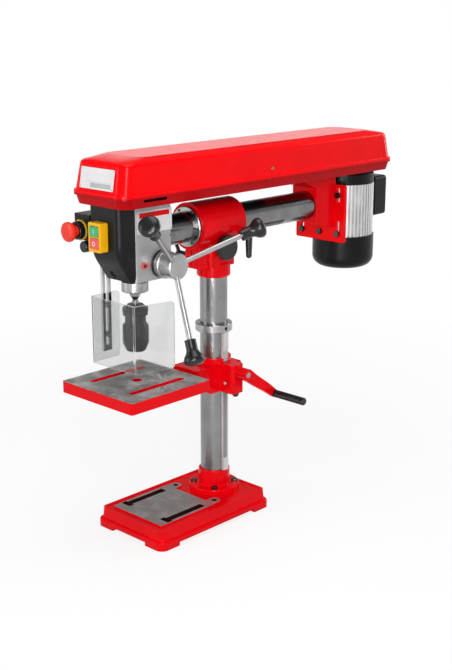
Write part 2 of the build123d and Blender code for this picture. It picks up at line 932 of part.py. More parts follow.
def arm_housing():
    collar = post(arm_collar_d / 2, (arm_bottom, arm_collar_top))
    collar = chamfer(collar.edges().group_by(Axis.Z)[0], arm_collar_foot)
    collar = chamfer(collar.edges().group_by(Axis.Z)[-1], arm_collar_edge)
    neck = soft_block((-arm_neck_half, arm_neck_half), (-arm_neck_front, arm_neck_back),
                      (arm_collar_top - lap, ram_z), arm_neck_r)
    sleeve = bar_y(arm_sleeve_d / 2, (-arm_front, arm_back), 0, ram_z)
    sleeve = fillet(sleeve.edges().sort_by(Axis.Y)[-1], arm_round)
    lug_z = (arm_collar_top - lap, arm_collar_top - lap + arm_lug_h)
    lug = soft_block((-arm_lug_half, arm_lug_half), (-arm_lug_front, 0), lug_z, arm_lug_r)
    lock_z = ram_z - ram_lock_drop
    boss = bar_x(ram_lock_boss_d / 2, (0, arm_sleeve_d / 2 + ram_lock_boss_out), ram_lock_y, lock_z)
    shaft_boss = bar_x(ram_boss_d / 2, (0, ram_boss_out), ram_pinion_y, ram_pinion_z)
    solid = collar + neck + sleeve + lug + boss + shaft_boss
    solid -= post(column_r + running, (arm_bottom - past, column_top + seat))
    split_z = (arm_bottom - past, lug_z[1] - arm_lug_bridge)
    solid -= block((-split_w / 2, split_w / 2), (-arm_lug_front - past, 0), split_z)
    solid -= bar_y(bush_r + running, (-arm_front - past, bush_end + past), 0, ram_z)
    solid -= bar_y(ram_r + running, (-arm_front, arm_back + past), 0, ram_z)
    half = ram_pinion_w / 2 + free
    solid -= bar_x(ram_pinion_r + ram_module + pinion_room, (-half, half), ram_pinion_y, ram_pinion_z)
    shaft_x = (-arm_neck_half, ram_boss_out + past)
    solid -= bar_x(ram_shaft_d / 2 + running, shaft_x, ram_pinion_y, ram_pinion_z)
    solid -= bar_x(lock_stud_d / 2 + running, (0, arm_sleeve_d), ram_lock_y, lock_z)
    lug_x = (-arm_lug_half - past, arm_lug_half - swivel_lock_skin)
    return solid - bar_x(lock_stud_d / 2 + running, lug_x, *swivel_lock_place())


def swivel_lock_place():
    return -arm_lug_front + swivel_lock_in, arm_collar_top + swivel_lock_rise


def swivel_lock_lever():
    y, z = swivel_lock_place()
    foot = (-arm_lug_half - swivel_lever_out, y, z)
    stud = bar_x(lock_stud_d / 2, (foot[0], arm_lug_half - swivel_lock_skin - free), y, z)
    hub = bar_x(swivel_hub_d / 2, (-arm_lug_half - swivel_hub_len, -arm_lug_half - free), y, z)
    end = (foot[0], y - swivel_lever_lean, z + swivel_lever_rise)
    return stud + hub + ball_lever(foot, end, lock_bar_d / 2, lock_ball_d / 2)


def ram_lock_lever():
    z = ram_z - ram_lock_drop
    tip = sqrt((ram_r + free) ** 2 - ram_lock_drop ** 2)
    face = arm_sleeve_d / 2 + ram_lock_boss_out
    hub_x = (face + ram_lock_hub_gap, face + ram_lock_hub_gap + ram_lock_hub_len)
    stud = bar_x(lock_stud_d / 2, (tip + lock_tip_gap, hub_x[1] - lock_stud_d / 2), ram_lock_y, z)
    hub = bar_x(ram_lock_hub_d / 2, hub_x, ram_lock_y, z)
    handle = Cone(ram_lock_grip_end_d / 2, ram_lock_grip_d / 2, ram_lock_len)
    handle = fillet(handle.edges().sort_by(Axis.Z)[0], ram_lock_grip_end_d / 2 - past)
    return stud + hub + Pos(face + ram_lock_grip_out, ram_lock_y, z - ram_lock_len / 2) * handle


def ram_pinion():
    wheel = extrude(Plane.YZ * Rot(0, 0, 90) * gear_outline(ram_module, ram_pinion_teeth, backlash),
                    ram_pinion_w / 2, both=True)
    wheel = Pos(0, ram_pinion_y, ram_pinion_z) * wheel
    shaft_x = (-arm_neck_half, ram_boss_out + free + ram_knob_t - ram_knob_web)
    return wheel + bar_x(ram_shaft_d / 2, shaft_x, ram_pinion_y, ram_pinion_z)


def ram_knob():
    x = (ram_boss_out + free, ram_boss_out + free + ram_knob_t)
    knob = bar_x(ram_knob_d / 2, x, ram_pinion_y, ram_pinion_z)
    knob = fillet(knob.edges().filter_by(GeomType.CIRCLE), ram_knob_round)
    bore_x = (x[0] - past, x[1] - ram_knob_web)
    return knob - bar_x(ram_shaft_d / 2 + seat, bore_x, ram_pinion_y, ram_pinion_z)


def guide_bush():
    ring = bar_y(arm_ring_d / 2, (-arm_front - free - arm_ring_t, -arm_front - free), 0, ram_z)
    ring = chamfer(ring.edges().sort_by(Axis.Y)[0], arm_ring_edge)
    tube = bar_y(bush_r, (-arm_front - free, bush_end), 0, ram_z)
    bore_y = (-arm_front - free - arm_ring_t - past, bush_end + past)
    solid = ring + tube - bar_y(ram_r + running, bore_y, 0, ram_z)
    reach = ram_pinion_r + ram_module + bush_window_room
    window = (ram_z - arm_ring_d, ram_z - bush_r * cos(radians(bush_window_angle / 2)))
    solid -= block((-arm_ring_d, arm_ring_d), (ram_pinion_y - reach, ram_pinion_y + reach), window)
    return solid


# Drill head
def head_casting():
    body = soft_block((-head_half, head_half), head_y, (head_bottom, pan_bottom), head_edge_r)
    body -= post(quill_d / 2 + running, (head_bottom - past, quill_top + quill_head_room), 0, spindle_y)
    body -= post(pulley_hub_d / 2 + running, (head_bottom, pan_bottom + past), 0, spindle_y)
    body -= bar_y(ram_r + seat, (head_y[1] - head_socket, head_y[1] + past), 0, ram_z)
    body -= bar_x(feed_shaft_d / 2 + running, (-head_half - past, head_half + past), feed_y, feed_z)
    half = feed_pinion_w / 2 + free
    return body - bar_x(feed_r + feed_module + pinion_room, (-half, half), feed_y, feed_z)


def front_cover():
    y = (cover_front, head_y[0])
    z = (head_bottom, pan_bottom - cover_top_gap)

    def form(inset, back):
        low, high, near = z[0] + inset, z[1] - inset, y[0] + inset
        chin = [(near, low + cover_chin_rise), (near + cover_chin_run, low)]
        outline = make_face(Polyline(*chin, (back, low), (back, high), (near, high), close=True))
        brow = outline.vertices().group_by(Axis.X)[0].sort_by(Axis.Y)[0]
        outline = fillet(brow, cover_chin_r)
        half = head_half - inset
        solid = Pos(-half, 0, 0) * extrude(Plane.YZ * outline, 2 * half)
        corners = solid.edges().filter_by(Axis.Z).group_by(Axis.Y)[0]
        return fillet(corners, cover_corner_r - inset)

    return form(0, y[1]) - form(cover_wall, y[1] + past)


def control_box():
    box = soft_block(control_x, control_y, control_z, box_edge_r)
    inner = [(low + box_wall, high - box_wall) for low, high in (control_x, control_y, control_z)]
    box -= block(*inner)
    lug_x = (-rail_side - lug_round_pin, -head_half)
    lug_y = (rail_y - lug_ahead, rail_y + lug_round_pin)
    lug_z = (control_z[0] - lug_h, control_z[0])
    box += block(lug_x, lug_y, lug_z)
    pin_z = (lug_z[0] - past, control_z[0] + box_wall + past)
    box -= post(rail_pin_d / 2 + running, pin_z, -rail_side, rail_y)
    stud_y = (lug_y[0] - past, lug_y[0] + guard_stud_len + past)
    box -= bar_y(guard_stud_d / 2 + running, stud_y, guard_knob_x, guard_knob_z)
    stem_y = (control_y[0] - past, control_y[0] + box_wall + past)
    return box - bar_y(estop_stem_d / 2 + free, stem_y, estop_x, estop_z)


def estop_collar():
    ring = bar_y(estop_collar_d / 2, (control_y[0] - estop_collar_t, control_y[0]), estop_x, estop_z)
    hole_y = (control_y[0] - estop_out, control_y[0] + past)
    return ring - bar_y(estop_stem_d / 2 + free, hole_y, estop_x, estop_z)


def estop_button():
    back = control_y[0] - estop_out
    cap = bar_y(estop_d / 2, (back - estop_cap_t, back), estop_x, estop_z)
    cap = fillet(cap.edges().sort_by(Axis.Y)[0], estop_round)
    cap = chamfer(cap.edges().sort_by(Axis.Y)[-1], estop_back)
    return cap + bar_y(estop_stem_d / 2, (back, control_y[0] + estop_stem_in), estop_x, estop_z)


def button_box(level):
    """X and Z limits of a push button, level 1 above and -1 below the switch's middle."""
    middle = (switch_z[0] + switch_z[1]) / 2 + level * (button_h + button_gap) / 2
    wide = (switch_x - button_w / 2, switch_x + button_w / 2)
    return wide, (middle - button_h / 2, middle + button_h / 2)


def switch_box():
    x = (switch_x - switch_w / 2, switch_x + switch_w / 2)
    y = (cover_front - switch_t, cover_front)
    box = soft_block(x, y, switch_z, box_edge_r, Axis.Y)
    for level in (-1, 1):
        wide, tall = button_box(level)
        wide = (wide[0] - free, wide[1] + free)
        tall = (tall[0] - free, tall[1] + free)
        box -= block(wide, (y[0] - past, y[1] - box_wall), tall)
    return box


def push_button(level):
    wide, tall = button_box(level)
    front = cover_front - switch_t - button_out
    back = cover_front - box_wall - button_travel - free
    return soft_block(wide, (front, back), tall, button_corner_r, Axis.Y)


def guard_rail():
    x = (-rail_side - rail_t / 2, -rail_side + rail_t / 2)
    bar = block(x, (rail_y - rail_w / 2, rail_y + rail_w / 2), (rail_bottom, rail_top))
    slot = block((x[0] - past, x[1] + past), (rail_y - rail_slot_w / 2, rail_y + rail_slot_w / 2),
                 (rail_bottom + rail_slot_low, rail_top - rail_slot_high))
    pin_z = (rail_top, control_z[0] + box_wall - free)
    return bar - slot + post(rail_pin_d / 2, pin_z, -rail_side, rail_y)


def guard_screw_heights():
    middle = guard_top - guard_h / 2 + guard_screw_rise
    return middle - guard_screw_gap / 2, middle + guard_screw_gap / 2


def guard_panel():
    left_back = guard_y + guard_left_len
    across, along = sin(radians(guard_splay)), cos(radians(guard_splay))
    end = (guard_right + guard_side_len * across, guard_y + guard_side_len * along)
    outer = [(guard_left, left_back), (guard_left, guard_y), (guard_right, guard_y), end]
    inner_left, inner_y = guard_left + guard_t, guard_y + guard_t
    inner_right = guard_right - guard_t * along + guard_t * (1 - across) / along * across
    inner_end = (end[0] - guard_t * along, end[1] + guard_t * across)
    inner = [inner_end, (inner_right, inner_y), (inner_left, inner_y), (inner_left, left_back)]
    sheet_plan = make_face(Polyline(*(outer + inner), close=True))
    solid = plan_prism(sheet_plan, (guard_top - guard_h, guard_top))
    bends = solid.edges().filter_by(Axis.Z).group_by(Axis.Y)[:2]
    solid = fillet(bends[1], guard_bend_r - guard_t)
    bends = solid.edges().filter_by(Axis.Z).group_by(Axis.Y)[0]
    solid = fillet(bends, guard_bend_r)
    corners = solid.edges().filter_by(lambda edge: abs(edge.length - guard_t) < free)
    solid = fillet(corners, guard_corner_r)
    for z in guard_screw_heights():
        solid -= bar_x(screw_d / 2 + seat, (guard_left - past, guard_left + guard_t + past), rail_y, z)
    return solid


def guard_screws():
    inside = guard_left + guard_t
    outside = -rail_side - rail_t / 2
    screws = []
    for z in guard_screw_heights():
        head = bar_x(screw_head_d / 2, (inside, inside + screw_head_h), rail_y, z)
        head = fillet(head.edges().sort_by(Axis.X)[-1], screw_round)
        nut = bar_x(screw_head_d / 2, (outside - screw_head_h, outside), rail_y, z)
        screws.append(head + nut + bar_x(screw_d / 2, (outside - screw_tip, inside), rail_y, z))
    return screws


def guard_knob():
    face = rail_y - lug_ahead - free
    knob = bar_y(guard_knob_d / 2, (face - guard_knob_t, face), guard_knob_x, guard_knob_z)
    knob = fillet(knob.edges().filter_by(GeomType.CIRCLE), guard_knob_round)
    stud_y = (face - guard_stud_in, face + guard_stud_len)
    return knob + bar_y(guard_stud_d / 2, stud_y, guard_knob_x, guard_knob_z)


def depth_pointer():
    y, z = feed_y - depth_ring_d / 2 - pointer_ahead, ram_z - pointer_drop
    body, tip = Pos(y, z) * Circle(pointer_d / 2), Pos(y + pointer_len, z) * Circle(pointer_tip_d / 2)
    drop = Plane.YZ * make_hull(body.edges() + tip.edges())
    face = head_half + pointer_t
    screw = bar_x(pointer_screw_d / 2, (face, face + pointer_screw_t), y, z)
    return Pos(head_half, 0, 0) * extrude(drop, pointer_t) + screw


# Feed, quill and spindle
def feed_shaft():
    wheel = extrude(Plane.YZ * Rot(0, 0, 180) * gear_outline(feed_module, feed_teeth, backlash / 2),
                    feed_pinion_w / 2, both=True)
    solid = Pos(0, feed_y, feed_z) * wheel
    half = feed_pinion_w / 2 + pinion_room
    solid += bar_x(feed_r - tooth_foot * feed_module, (-half, half), feed_y, feed_z)
    solid += bar_x(feed_shaft_d / 2, (half, hub_face - hub_shaft_in), feed_y, feed_z)
    cap_floor = -head_half - spring_cap_w + spring_cap_wall
    return solid + bar_x(feed_shaft_d / 2, (cap_floor + pinion_room, -half), feed_y, feed_z)


def feed_rod_places():
    """Places of the feed rods round the hub, each with its own +X axis pointing along the rod."""
    first, out = hub_face - feed_rod_in, feed_knob_out + feed_rod_in
    lean = radians(90) - acos(out / sqrt(out ** 2 + feed_knob_reach ** 2))
    places = []
    for rod in range(feed_rod_count):
        turn = feed_rod_start + rod * 360 / feed_rod_count
        places.append(Pos(first, feed_y, feed_z) * Rot(turn, 0, 0) * Rot(0, 0, 90 - lean * 180 / pi))
    return places


def feed_rod_len():
    return sqrt((feed_knob_out + feed_rod_in) ** 2 + feed_knob_reach ** 2)


def feed_hub():
    inner = head_half + free + depth_ring_w + free
    hub = bar_x(hub_d / 2, (inner, hub_face), feed_y, feed_z)
    hub = chamfer(hub.edges().sort_by(Axis.X)[-1], hub_chamfer)
    hub += bar_x(depth_ring_d / 2 - depth_ring_wall, (head_half + free, inner), feed_y, feed_z)
    hub += feed_shaft()
    for place in feed_rod_places():
        hub -= place * bar_x(feed_rod_d / 2 + seat, (feed_shaft_d, feed_knob_reach), 0, 0)
    return hub


def feed_rods():
    rod = bar_x(feed_rod_d / 2, (feed_shaft_d, feed_rod_len()), 0, 0)
    return [place * rod for place in feed_rod_places()]


def feed_knobs():
    """Flared grips: a straight neck that opens like a trumpet and ends in a flat dome."""
    wide, neck = feed_knob_d / 2, feed_knob_neck_d / 2
    end = feed_rod_len() + feed_knob_past
    start = end - feed_knob_len

    def along(share):
        return start + feed_knob_len * share

    throat = (neck, along(feed_knob_neck_share))
    swell = (neck + (wide - neck) * feed_knob_flare, along(feed_knob_flare_at))
    rim = (wide, along(feed_knob_wide_at))
    flare = Spline(throat, swell, rim, tangents=[(0, 1), (0, 1)])
    brow = (wide * feed_knob_brow, along(feed_knob_brow_at))
    crown = Spline(rim, brow, (0, end), tangents=[(0, 1), (-1, 0)])
    inside = Polyline((0, end), (0, start), (neck, start), throat)
    knob = Rot(0, 90, 0) * revolve(Plane.XZ * make_face([flare, crown, inside]), Axis.Z)
    knob -= bar_x(feed_rod_d / 2 + seat, (start - past, feed_rod_len()), 0, 0)
    return [place * knob for place in feed_rod_places()]


def depth_ring():
    x = (head_half + free, head_half + free + depth_ring_w)
    ring = bar_x(depth_ring_d / 2, x, feed_y, feed_z)
    ring = chamfer(ring.edges().filter_by(GeomType.CIRCLE), hub_chamfer)
    bore_r = depth_ring_d / 2 - depth_ring_wall + running
    return ring - bar_x(bore_r, (x[0] - past, x[1] + past), feed_y, feed_z)


def spring_cap():
    x = (-head_half - spring_cap_w, -head_half)
    cap = bar_x(spring_cap_d / 2, x, feed_y, feed_z)
    cap = fillet(cap.edges().sort_by(Axis.X)[0], spring_cap_wall)
    inner_x = (x[0] + spring_cap_wall, x[1] + past)
    return cap - bar_x(spring_cap_d / 2 - spring_cap_wall, inner_x, feed_y, feed_z)


def return_spring():
    x = (-head_half - spring_strip_w - spring_gap, -head_half - spring_gap)
    coil = bar_x(spring_cap_d / 2 - spring_cap_wall - seat, x, feed_y, feed_z)
    return coil - bar_x(feed_shaft_d / 2 + free, (x[0] - past, x[1] + past), feed_y, feed_z)


def quill():
    body = post(quill_d / 2, (quill_end + quill_body_in, quill_top), 0, spindle_y)
    collar = post(quill_collar_d / 2, (quill_end, quill_end + quill_collar_h), 0, spindle_y)
    body += chamfer(collar.edges().filter_by(GeomType.CIRCLE), hub_chamfer)
    mouth, floor, depth = tooth_gap(feed_module, backlash / 2)
    pitch = pi * feed_module
    tip = spindle_y + quill_d / 2
    gaps = []
    for tooth in range(-spare_teeth, int(feed_travel / pitch) + spare_teeth + 1):
        z = feed_z + tooth * pitch
        points = [(tip + past, z - mouth), (tip, z - mouth), (tip - depth, z - floor)]
        points += [(tip - depth, z + floor), (tip, z + mouth), (tip + past, z + mouth)]
        gaps.append(side_prism(points, (-quill_d / 2, quill_d / 2)))
    body -= gaps
    body -= post(spindle_d / 2 + free, (quill_end - past, quill_top + past), 0, spindle_y)
    for z in bearing_heights():
        body -= post(bearing_d / 2 + seat, z, 0, spindle_y)
    return body


def bearing_heights():
    low = (quill_end - past, quill_end + bearing_w)
    return low, (quill_top - bearing_w, quill_top + past)


def spindle_bearings():
    rings = []
    for z in ((quill_end, quill_end + bearing_w), (quill_top - bearing_w, quill_top)):
        ring = post(bearing_d / 2, z, 0, spindle_y)
        rings.append(ring - post(spindle_d / 2 + running, (z[0] - past, z[1] + past), 0, spindle_y))
    return rings


def quill_bumper():
    z = (head_bottom - bumper_h, head_bottom - free)
    ring = post(quill_collar_d / 2, z, 0, spindle_y)
    return ring - post(quill_d / 2 + seat, (z[0] - past, z[1] + past), 0, spindle_y)


def spindle():
    spline_top = pulley_z + len(spindle_steps) * step_h - spline_short
    neck = nose_neck_d / 2
    points = [(0, chuck_flange_z), (neck, chuck_flange_z), (neck, chuck_top + nose_groove_low)]
    groove = neck - nose_groove
    points += [(groove, chuck_top + nose_groove_low), (groove, chuck_top + nose_groove_high)]
    points += [(nose_d / 2 - nose_groove, chuck_top + nose_cone_high), (nose_d / 2, quill_end - free)]
    points += [(spindle_d / 2, quill_end - free), (spindle_d / 2, quill_top), (spline_d / 2, quill_top)]
    points += [(spline_d / 2, spline_top), (0, spline_top)]
    return turned(points, 0, spindle_y)


def chuck_body():
    hole, core, bore = nose_neck_d / 2 + seat, chuck_core_d / 2, chuck_bore_d / 2
    core_low = chuck_bottom + chuck_core_in
    points = [(hole, chuck_sleeve_top), (hole, chuck_top), (chuck_top_d / 2 - chuck_top_lean, chuck_top)]
    points += [(chuck_top_d / 2, chuck_flange_z), (chuck_flange_d / 2, chuck_flange_z)]
    points += [(chuck_flange_d / 2, chuck_sleeve_top), (core, chuck_sleeve_top)]
    points += [(core, core_low), (bore, core_low), (bore, chuck_sleeve_top)]
    solid = turned(points, 0, spindle_y)
    slot_half = jaw_w / 2 + free
    slot_z = (chuck_bottom - past, chuck_bottom + jaw_len + free)
    slot = block((0, core + past), (-slot_half, slot_half), slot_z)
    return solid - [place * slot for place in jaw_places()]


def jaw_places():
    return [Pos(0, spindle_y, 0) * Rot(0, 0, 90 + jaw * 360 / jaw_count) for jaw in range(jaw_count)]


def chuck_jaw(number):
    jaw_z = (chuck_bottom - jaw_out, chuck_bottom + jaw_len)
    jaw = block((jaw_rest_r, jaw_rest_r + jaw_r), (-jaw_w / 2, jaw_w / 2), jaw_z)
    return jaw_places()[number] * jaw


def chuck_sleeve():
    z = chuck_sleeve_top - free
    waist = z - chuck_waist_h
    belly = waist - chuck_sleeve_h
    inner, ridge = chuck_core_d / 2 + running, chuck_flange_d / 2 - free
    nose = chuck_nose_d / 2
    points = [(inner, z), (ridge, z), (ridge, z - chuck_ridge_h)]
    throat = chuck_waist_d / 2
    points += [(throat, z - chuck_ridge_h - chuck_ridge_lean), (throat, waist + chuck_shoulder)]
    points += [(chuck_sleeve_d / 2, waist - chuck_shoulder), (chuck_sleeve_d / 2, belly)]
    points += [(nose + chuck_lip, chuck_bottom + chuck_lip), (nose, chuck_bottom), (inner, chuck_bottom)]
    return turned(points, 0, spindle_y)


# Belt cover, pulleys and belt
def pan_section(inset, z, side, end):
    width = 2 * (pan_half - side - inset)
    length = pan_len - 2 * (end + inset)
    return Pos(0, 0, z) * round_rect(width, length, pan_corner_r - inset, pan_mid)


def belt_pan():
    def form(inset, low, high):
        foot = pan_section(inset, low, pan_taper_side, pan_taper_end)
        return loft([foot, pan_section(inset, high, 0, 0)])

    solid = form(0, pan_bottom, lip_z)
    solid += plan_prism(pan_section(-lip_out, 0, 0, 0), (lip_z - lip_t, lip_z))
    solid -= form(sheet, pan_bottom + sheet, lip_z + past)
    for y in (spindle_y, motor_y):
        solid -= post(pulley_hub_d / 2 + pan_hole_gap, (0, lip_z), 0, y)
    for y in hinge_places():
        ear_y = (y - hinge_len / 2 - hinge_ear, y - hinge_len / 2)
        solid += block((-pan_half - hinge_out, -pan_half), ear_y, (lip_z - hinge_pan_t, lip_z))
        solid += hinge_barrel(*ear_y)
        solid += bar_y(hinge_pin_d / 2, (ear_y[1] - hinge_pin_in, y + hinge_len / 2), *hinge_axis())
    return solid


def hinge_axis():
    return -pan_half - lip_out - hinge_out, lip_z


def hinge_places():
    return pan_mid - pan_len * hinge_spread / 2, pan_mid + pan_len * hinge_spread / 2


def hinge_barrel(low, high):
    return bar_y(hinge_d / 2, (low, high), *hinge_axis())


def belt_lid():
    z0 = lip_z + free
    wall_top = lip_z + lid_wall_h + lip_h

    def form(inset):
        rings = [pan_section(inset, z0, 0, 0)]
        for step in range(lid_edge_steps + 1):
            turn = radians(90 * step / lid_edge_steps)
            drop, draw = lid_edge_r * (1 - sin(turn)), lid_edge_r * (1 - cos(turn))
            rings.append(pan_section(inset, wall_top - drop - inset, lid_lean + draw, lid_lean_end + draw))
        crown = (lid_lean + lid_crown_in, lid_lean_end + lid_crown_end)
        rings.append(pan_section(inset, lid_top - inset, *crown))
        solid = loft(rings[:2])
        for low, high in zip(rings[1:], rings[2:]):
            solid += loft([low, high])
        return solid

    bead = plan_prism(pan_section(-lip_out, 0, 0, 0), (z0, lip_z + lip_h))
    bead = fillet(bead.edges().group_by(Axis.Z)[-1], lip_out - free)
    solid = bead + form(0)
    solid -= plan_prism(pan_section(sheet, 0, 0, 0), (z0 - past, z0 + past))
    solid -= form(sheet)
    for y in hinge_places():
        low, high = y - hinge_len / 2 + free, y + hinge_len / 2
        solid += block((hinge_axis()[0], -pan_half), (low, high), (z0 + past, z0 + past + hinge_leaf_t))
        solid += hinge_barrel(low, high)
        solid -= bar_y(hinge_pin_d / 2 + running, (low - past, high + past), *hinge_axis())
    return solid


def step_pulley(radii, y, bore_d):
    """A V-belt step pulley, with a groove at each step."""
    points = [(bore_d / 2, pulley_z)]
    for level, radius in enumerate(radii):
        z = pulley_z + level * step_h
        mid, inner = z + step_h / 2, radius - groove_depth
        mouth, floor = belt_w / 2 + groove_flare, belt_w / 2 + free
        points += [(radius, z), (radius, mid - mouth), (inner, mid - floor)]
        points += [(inner, mid + floor), (radius, mid + mouth), (radius, z + step_h)]
    points += [(bore_d / 2, pulley_z + len(radii) * step_h)]
    return turned(points, 0, y)


def spindle_pulley():
    hub_z = (quill_top + pulley_hub_gap, pulley_z)
    hub = post(pulley_hub_d / 2, hub_z, 0, spindle_y)
    bore = post(spline_d / 2 + running, (hub_z[0] - past, pulley_z + past), 0, spindle_y)
    return step_pulley(spindle_steps, spindle_y, spline_d + 2 * running) + (hub - bore)


def motor_pulley():
    return step_pulley(motor_steps, motor_y, motor_shaft_d + 2 * seat)


def v_belt():
    def loop(extra):
        front = Pos(0, spindle_y) * Circle(spindle_steps[belt_step] - groove_depth + extra)
        rear = Pos(0, motor_y) * Circle(motor_steps[belt_step] - groove_depth + extra)
        return make_hull(front.edges() + rear.edges())

    z = (belt_z - belt_w / 2, belt_z + belt_w / 2)
    return plan_prism(loop(free + belt_t), z) - plan_prism(loop(free), (z[0] - past, z[1] + past))


# Rear bracket and motor
def bolt_places():
    """X and Z of the motor plate's bolts: a lower row, and an upper pair in the slots."""
    low, high = plate_z[0] + plate_bolt_low, plate_z[1] - plate_slot_inset
    row = [(x, low) for x in (-plate_slot_x, 0, plate_slot_x)]
    return row + [(-plate_slot_x, high), (plate_slot_x, high)]


def rear_bracket():
    """A socket for the ram that widens into the motor flange, with a shelf under the belt pan."""
    def section(half, low, y):
        middle = (low + pan_bottom) / 2
        return Pos(0, y, middle) * Rot(90, 0, 0) * Rectangle(2 * half, pan_bottom - low)

    socket = section(socket_half, ram_z - socket_drop, bracket_y[0])
    solid = loft([socket, section(bracket_half, bracket_z[0], bracket_y[1])])
    shelf_z = (pan_bottom - rear_flange_t, pan_bottom)
    shelf = block((-socket_half, socket_half), (bracket_y[0] - flange_ahead, bracket_y[1]), shelf_z)
    gusset = [(bracket_y[0] - gusset_len, shelf_z[0]), (bracket_y[0], shelf_z[0]),
              (bracket_y[0], shelf_z[0] - gusset_h)]
    solid += shelf + side_prism(gusset, (-socket_half, socket_half))
    return solid - bar_y(ram_r + seat, (bracket_y[0] - past, bracket_y[0] + socket_depth), 0, ram_z)


def motor_plate():
    plate = soft_block((-plate_half, plate_half), plate_y, plate_z, plate_corner_r, Axis.Y)
    slot = extrude(Rot(0, 0, 90) * SlotOverall(plate_slot_len, plate_slot_w), plate_t + 2 * past)
    for x in (-plate_slot_x, plate_slot_x):
        for z in (plate_z[1] - plate_slot_inset, plate_z[0] + plate_slot_low):
            plate -= Pos(x, plate_y[1] + past, z) * Rot(90, 0, 0) * slot
    through = (plate_y[0] - past, plate_y[1] + past)
    return plate - bar_y(bolt_d / 2 + seat, through, 0, plate_z[0] + plate_bolt_low)


def motor_bolts():
    bolts = []
    for x, z in bolt_places():
        head = extrude(RegularPolygon(bolt_head_w / 2, 6, major_radius=False), bolt_head_h)
        head = Pos(x, plate_y[0], z) * Rot(90, 0, 0) * head
        bolts.append(head + bar_y(bolt_d / 2, (plate_y[0], plate_y[1] + motor_bolt_in), x, z))
    return bolts


def motor_body():
    outline = Circle(motor_core_d / 2)
    fin = Rectangle(motor_d / 2, motor_fin_w, align=(Align.MIN, Align.CENTER))
    for place in PolarLocations(0, motor_fins):
        outline += place * fin
    solid = Pos(0, motor_y, motor_z[0]) * extrude(outline, motor_h)
    pad_low, pad_high = plate_z[0] + motor_pad_inset, plate_z[1] - motor_pad_inset
    pad_z = (max(pad_low, motor_z[0]), min(pad_high, motor_z[1]))
    solid += block((-motor_pad_half, motor_pad_half), (plate_y[1], motor_y - motor_core_d / 4), pad_z)
    solid -= post(rotor_d / 2 + rotor_air, (motor_z[0] - past, motor_z[1] + past), 0, motor_y)
    for x, z in bolt_places():
        solid -= bar_y(bolt_d / 2 + seat, (plate_y[1] - past, plate_y[1] + motor_bolt_in + past), x, z)
    return solid


def motor_end_bell():
    bell = post(bell_d / 2, (motor_z[1], motor_z[1] + bell_h), 0, motor_y)
    bell = fillet(bell.edges().group_by(Axis.Z)[-1], bell_round)
    bore_z = (motor_z[1] - past, motor_z[1] + bell_h + past)
    return bell - post(motor_shaft_d / 2 + running, bore_z, 0, motor_y)


def fan_cover():
    cover = post(fan_cover_d / 2, (fan_cover_z, motor_z[0]), 0, motor_y)
    cover = fillet(cover.edges().group_by(Axis.Z)[0], fan_cover_r)
    inner = post(fan_cover_d / 2 - sheet, (fan_cover_z + sheet, motor_z[0] + past), 0, motor_y)
    cover -= fillet(inner.edges().group_by(Axis.Z)[0], fan_cover_r - sheet)
    vent = extrude(Pos(vent_reach, 0) * SlotOverall(vent_len, vent_w), sheet + 2 * past)
    middle = Pos(0, motor_y, fan_cover_z - past)
    return cover - [middle * Rot(0, 0, turn * 360 / vent_count) * vent for turn in range(vent_count)]


def terminal_box():
    y = (motor_y + motor_d / 2, motor_y + motor_d / 2 + terminal_depth)
    z = (motor_z[0] + terminal_rise, motor_z[0] + terminal_rise + terminal_h)
    box = soft_block((-terminal_half, terminal_half), y, z, terminal_corner_r, Axis.Y)
    return fillet(box.edges().group_by(Axis.Y)[-1], terminal_round)


def motor_rotor():
    core_z = ((motor_z[0] + motor_z[1] - rotor_h) / 2, (motor_z[0] + motor_z[1] + rotor_h) / 2)
    core = post(rotor_d / 2, core_z, 0, motor_y)
    fan = post(fan_d / 2, (fan_z, fan_z + fan_disc_t), 0, motor_y)
    fan += post(fan_hub_d / 2, (fan_z, fan_z + fan_h), 0, motor_y)
    half = fan_blade_t / 2
    blade = block((fan_blade_in, fan_d / 2 - fan_tip_gap), (-half, half), (fan_z, fan_z + fan_h))
    for turn in range(fan_blade_count):
        fan += Pos(0, motor_y, 0) * Rot(0, 0, turn * 360 / fan_blade_count) * blade
    shaft_top = pulley_z + len(motor_steps) * step_h + shaft_over
    return core + fan + post(motor_shaft_d / 2, (fan_z - shaft_end, shaft_top), 0, motor_y)


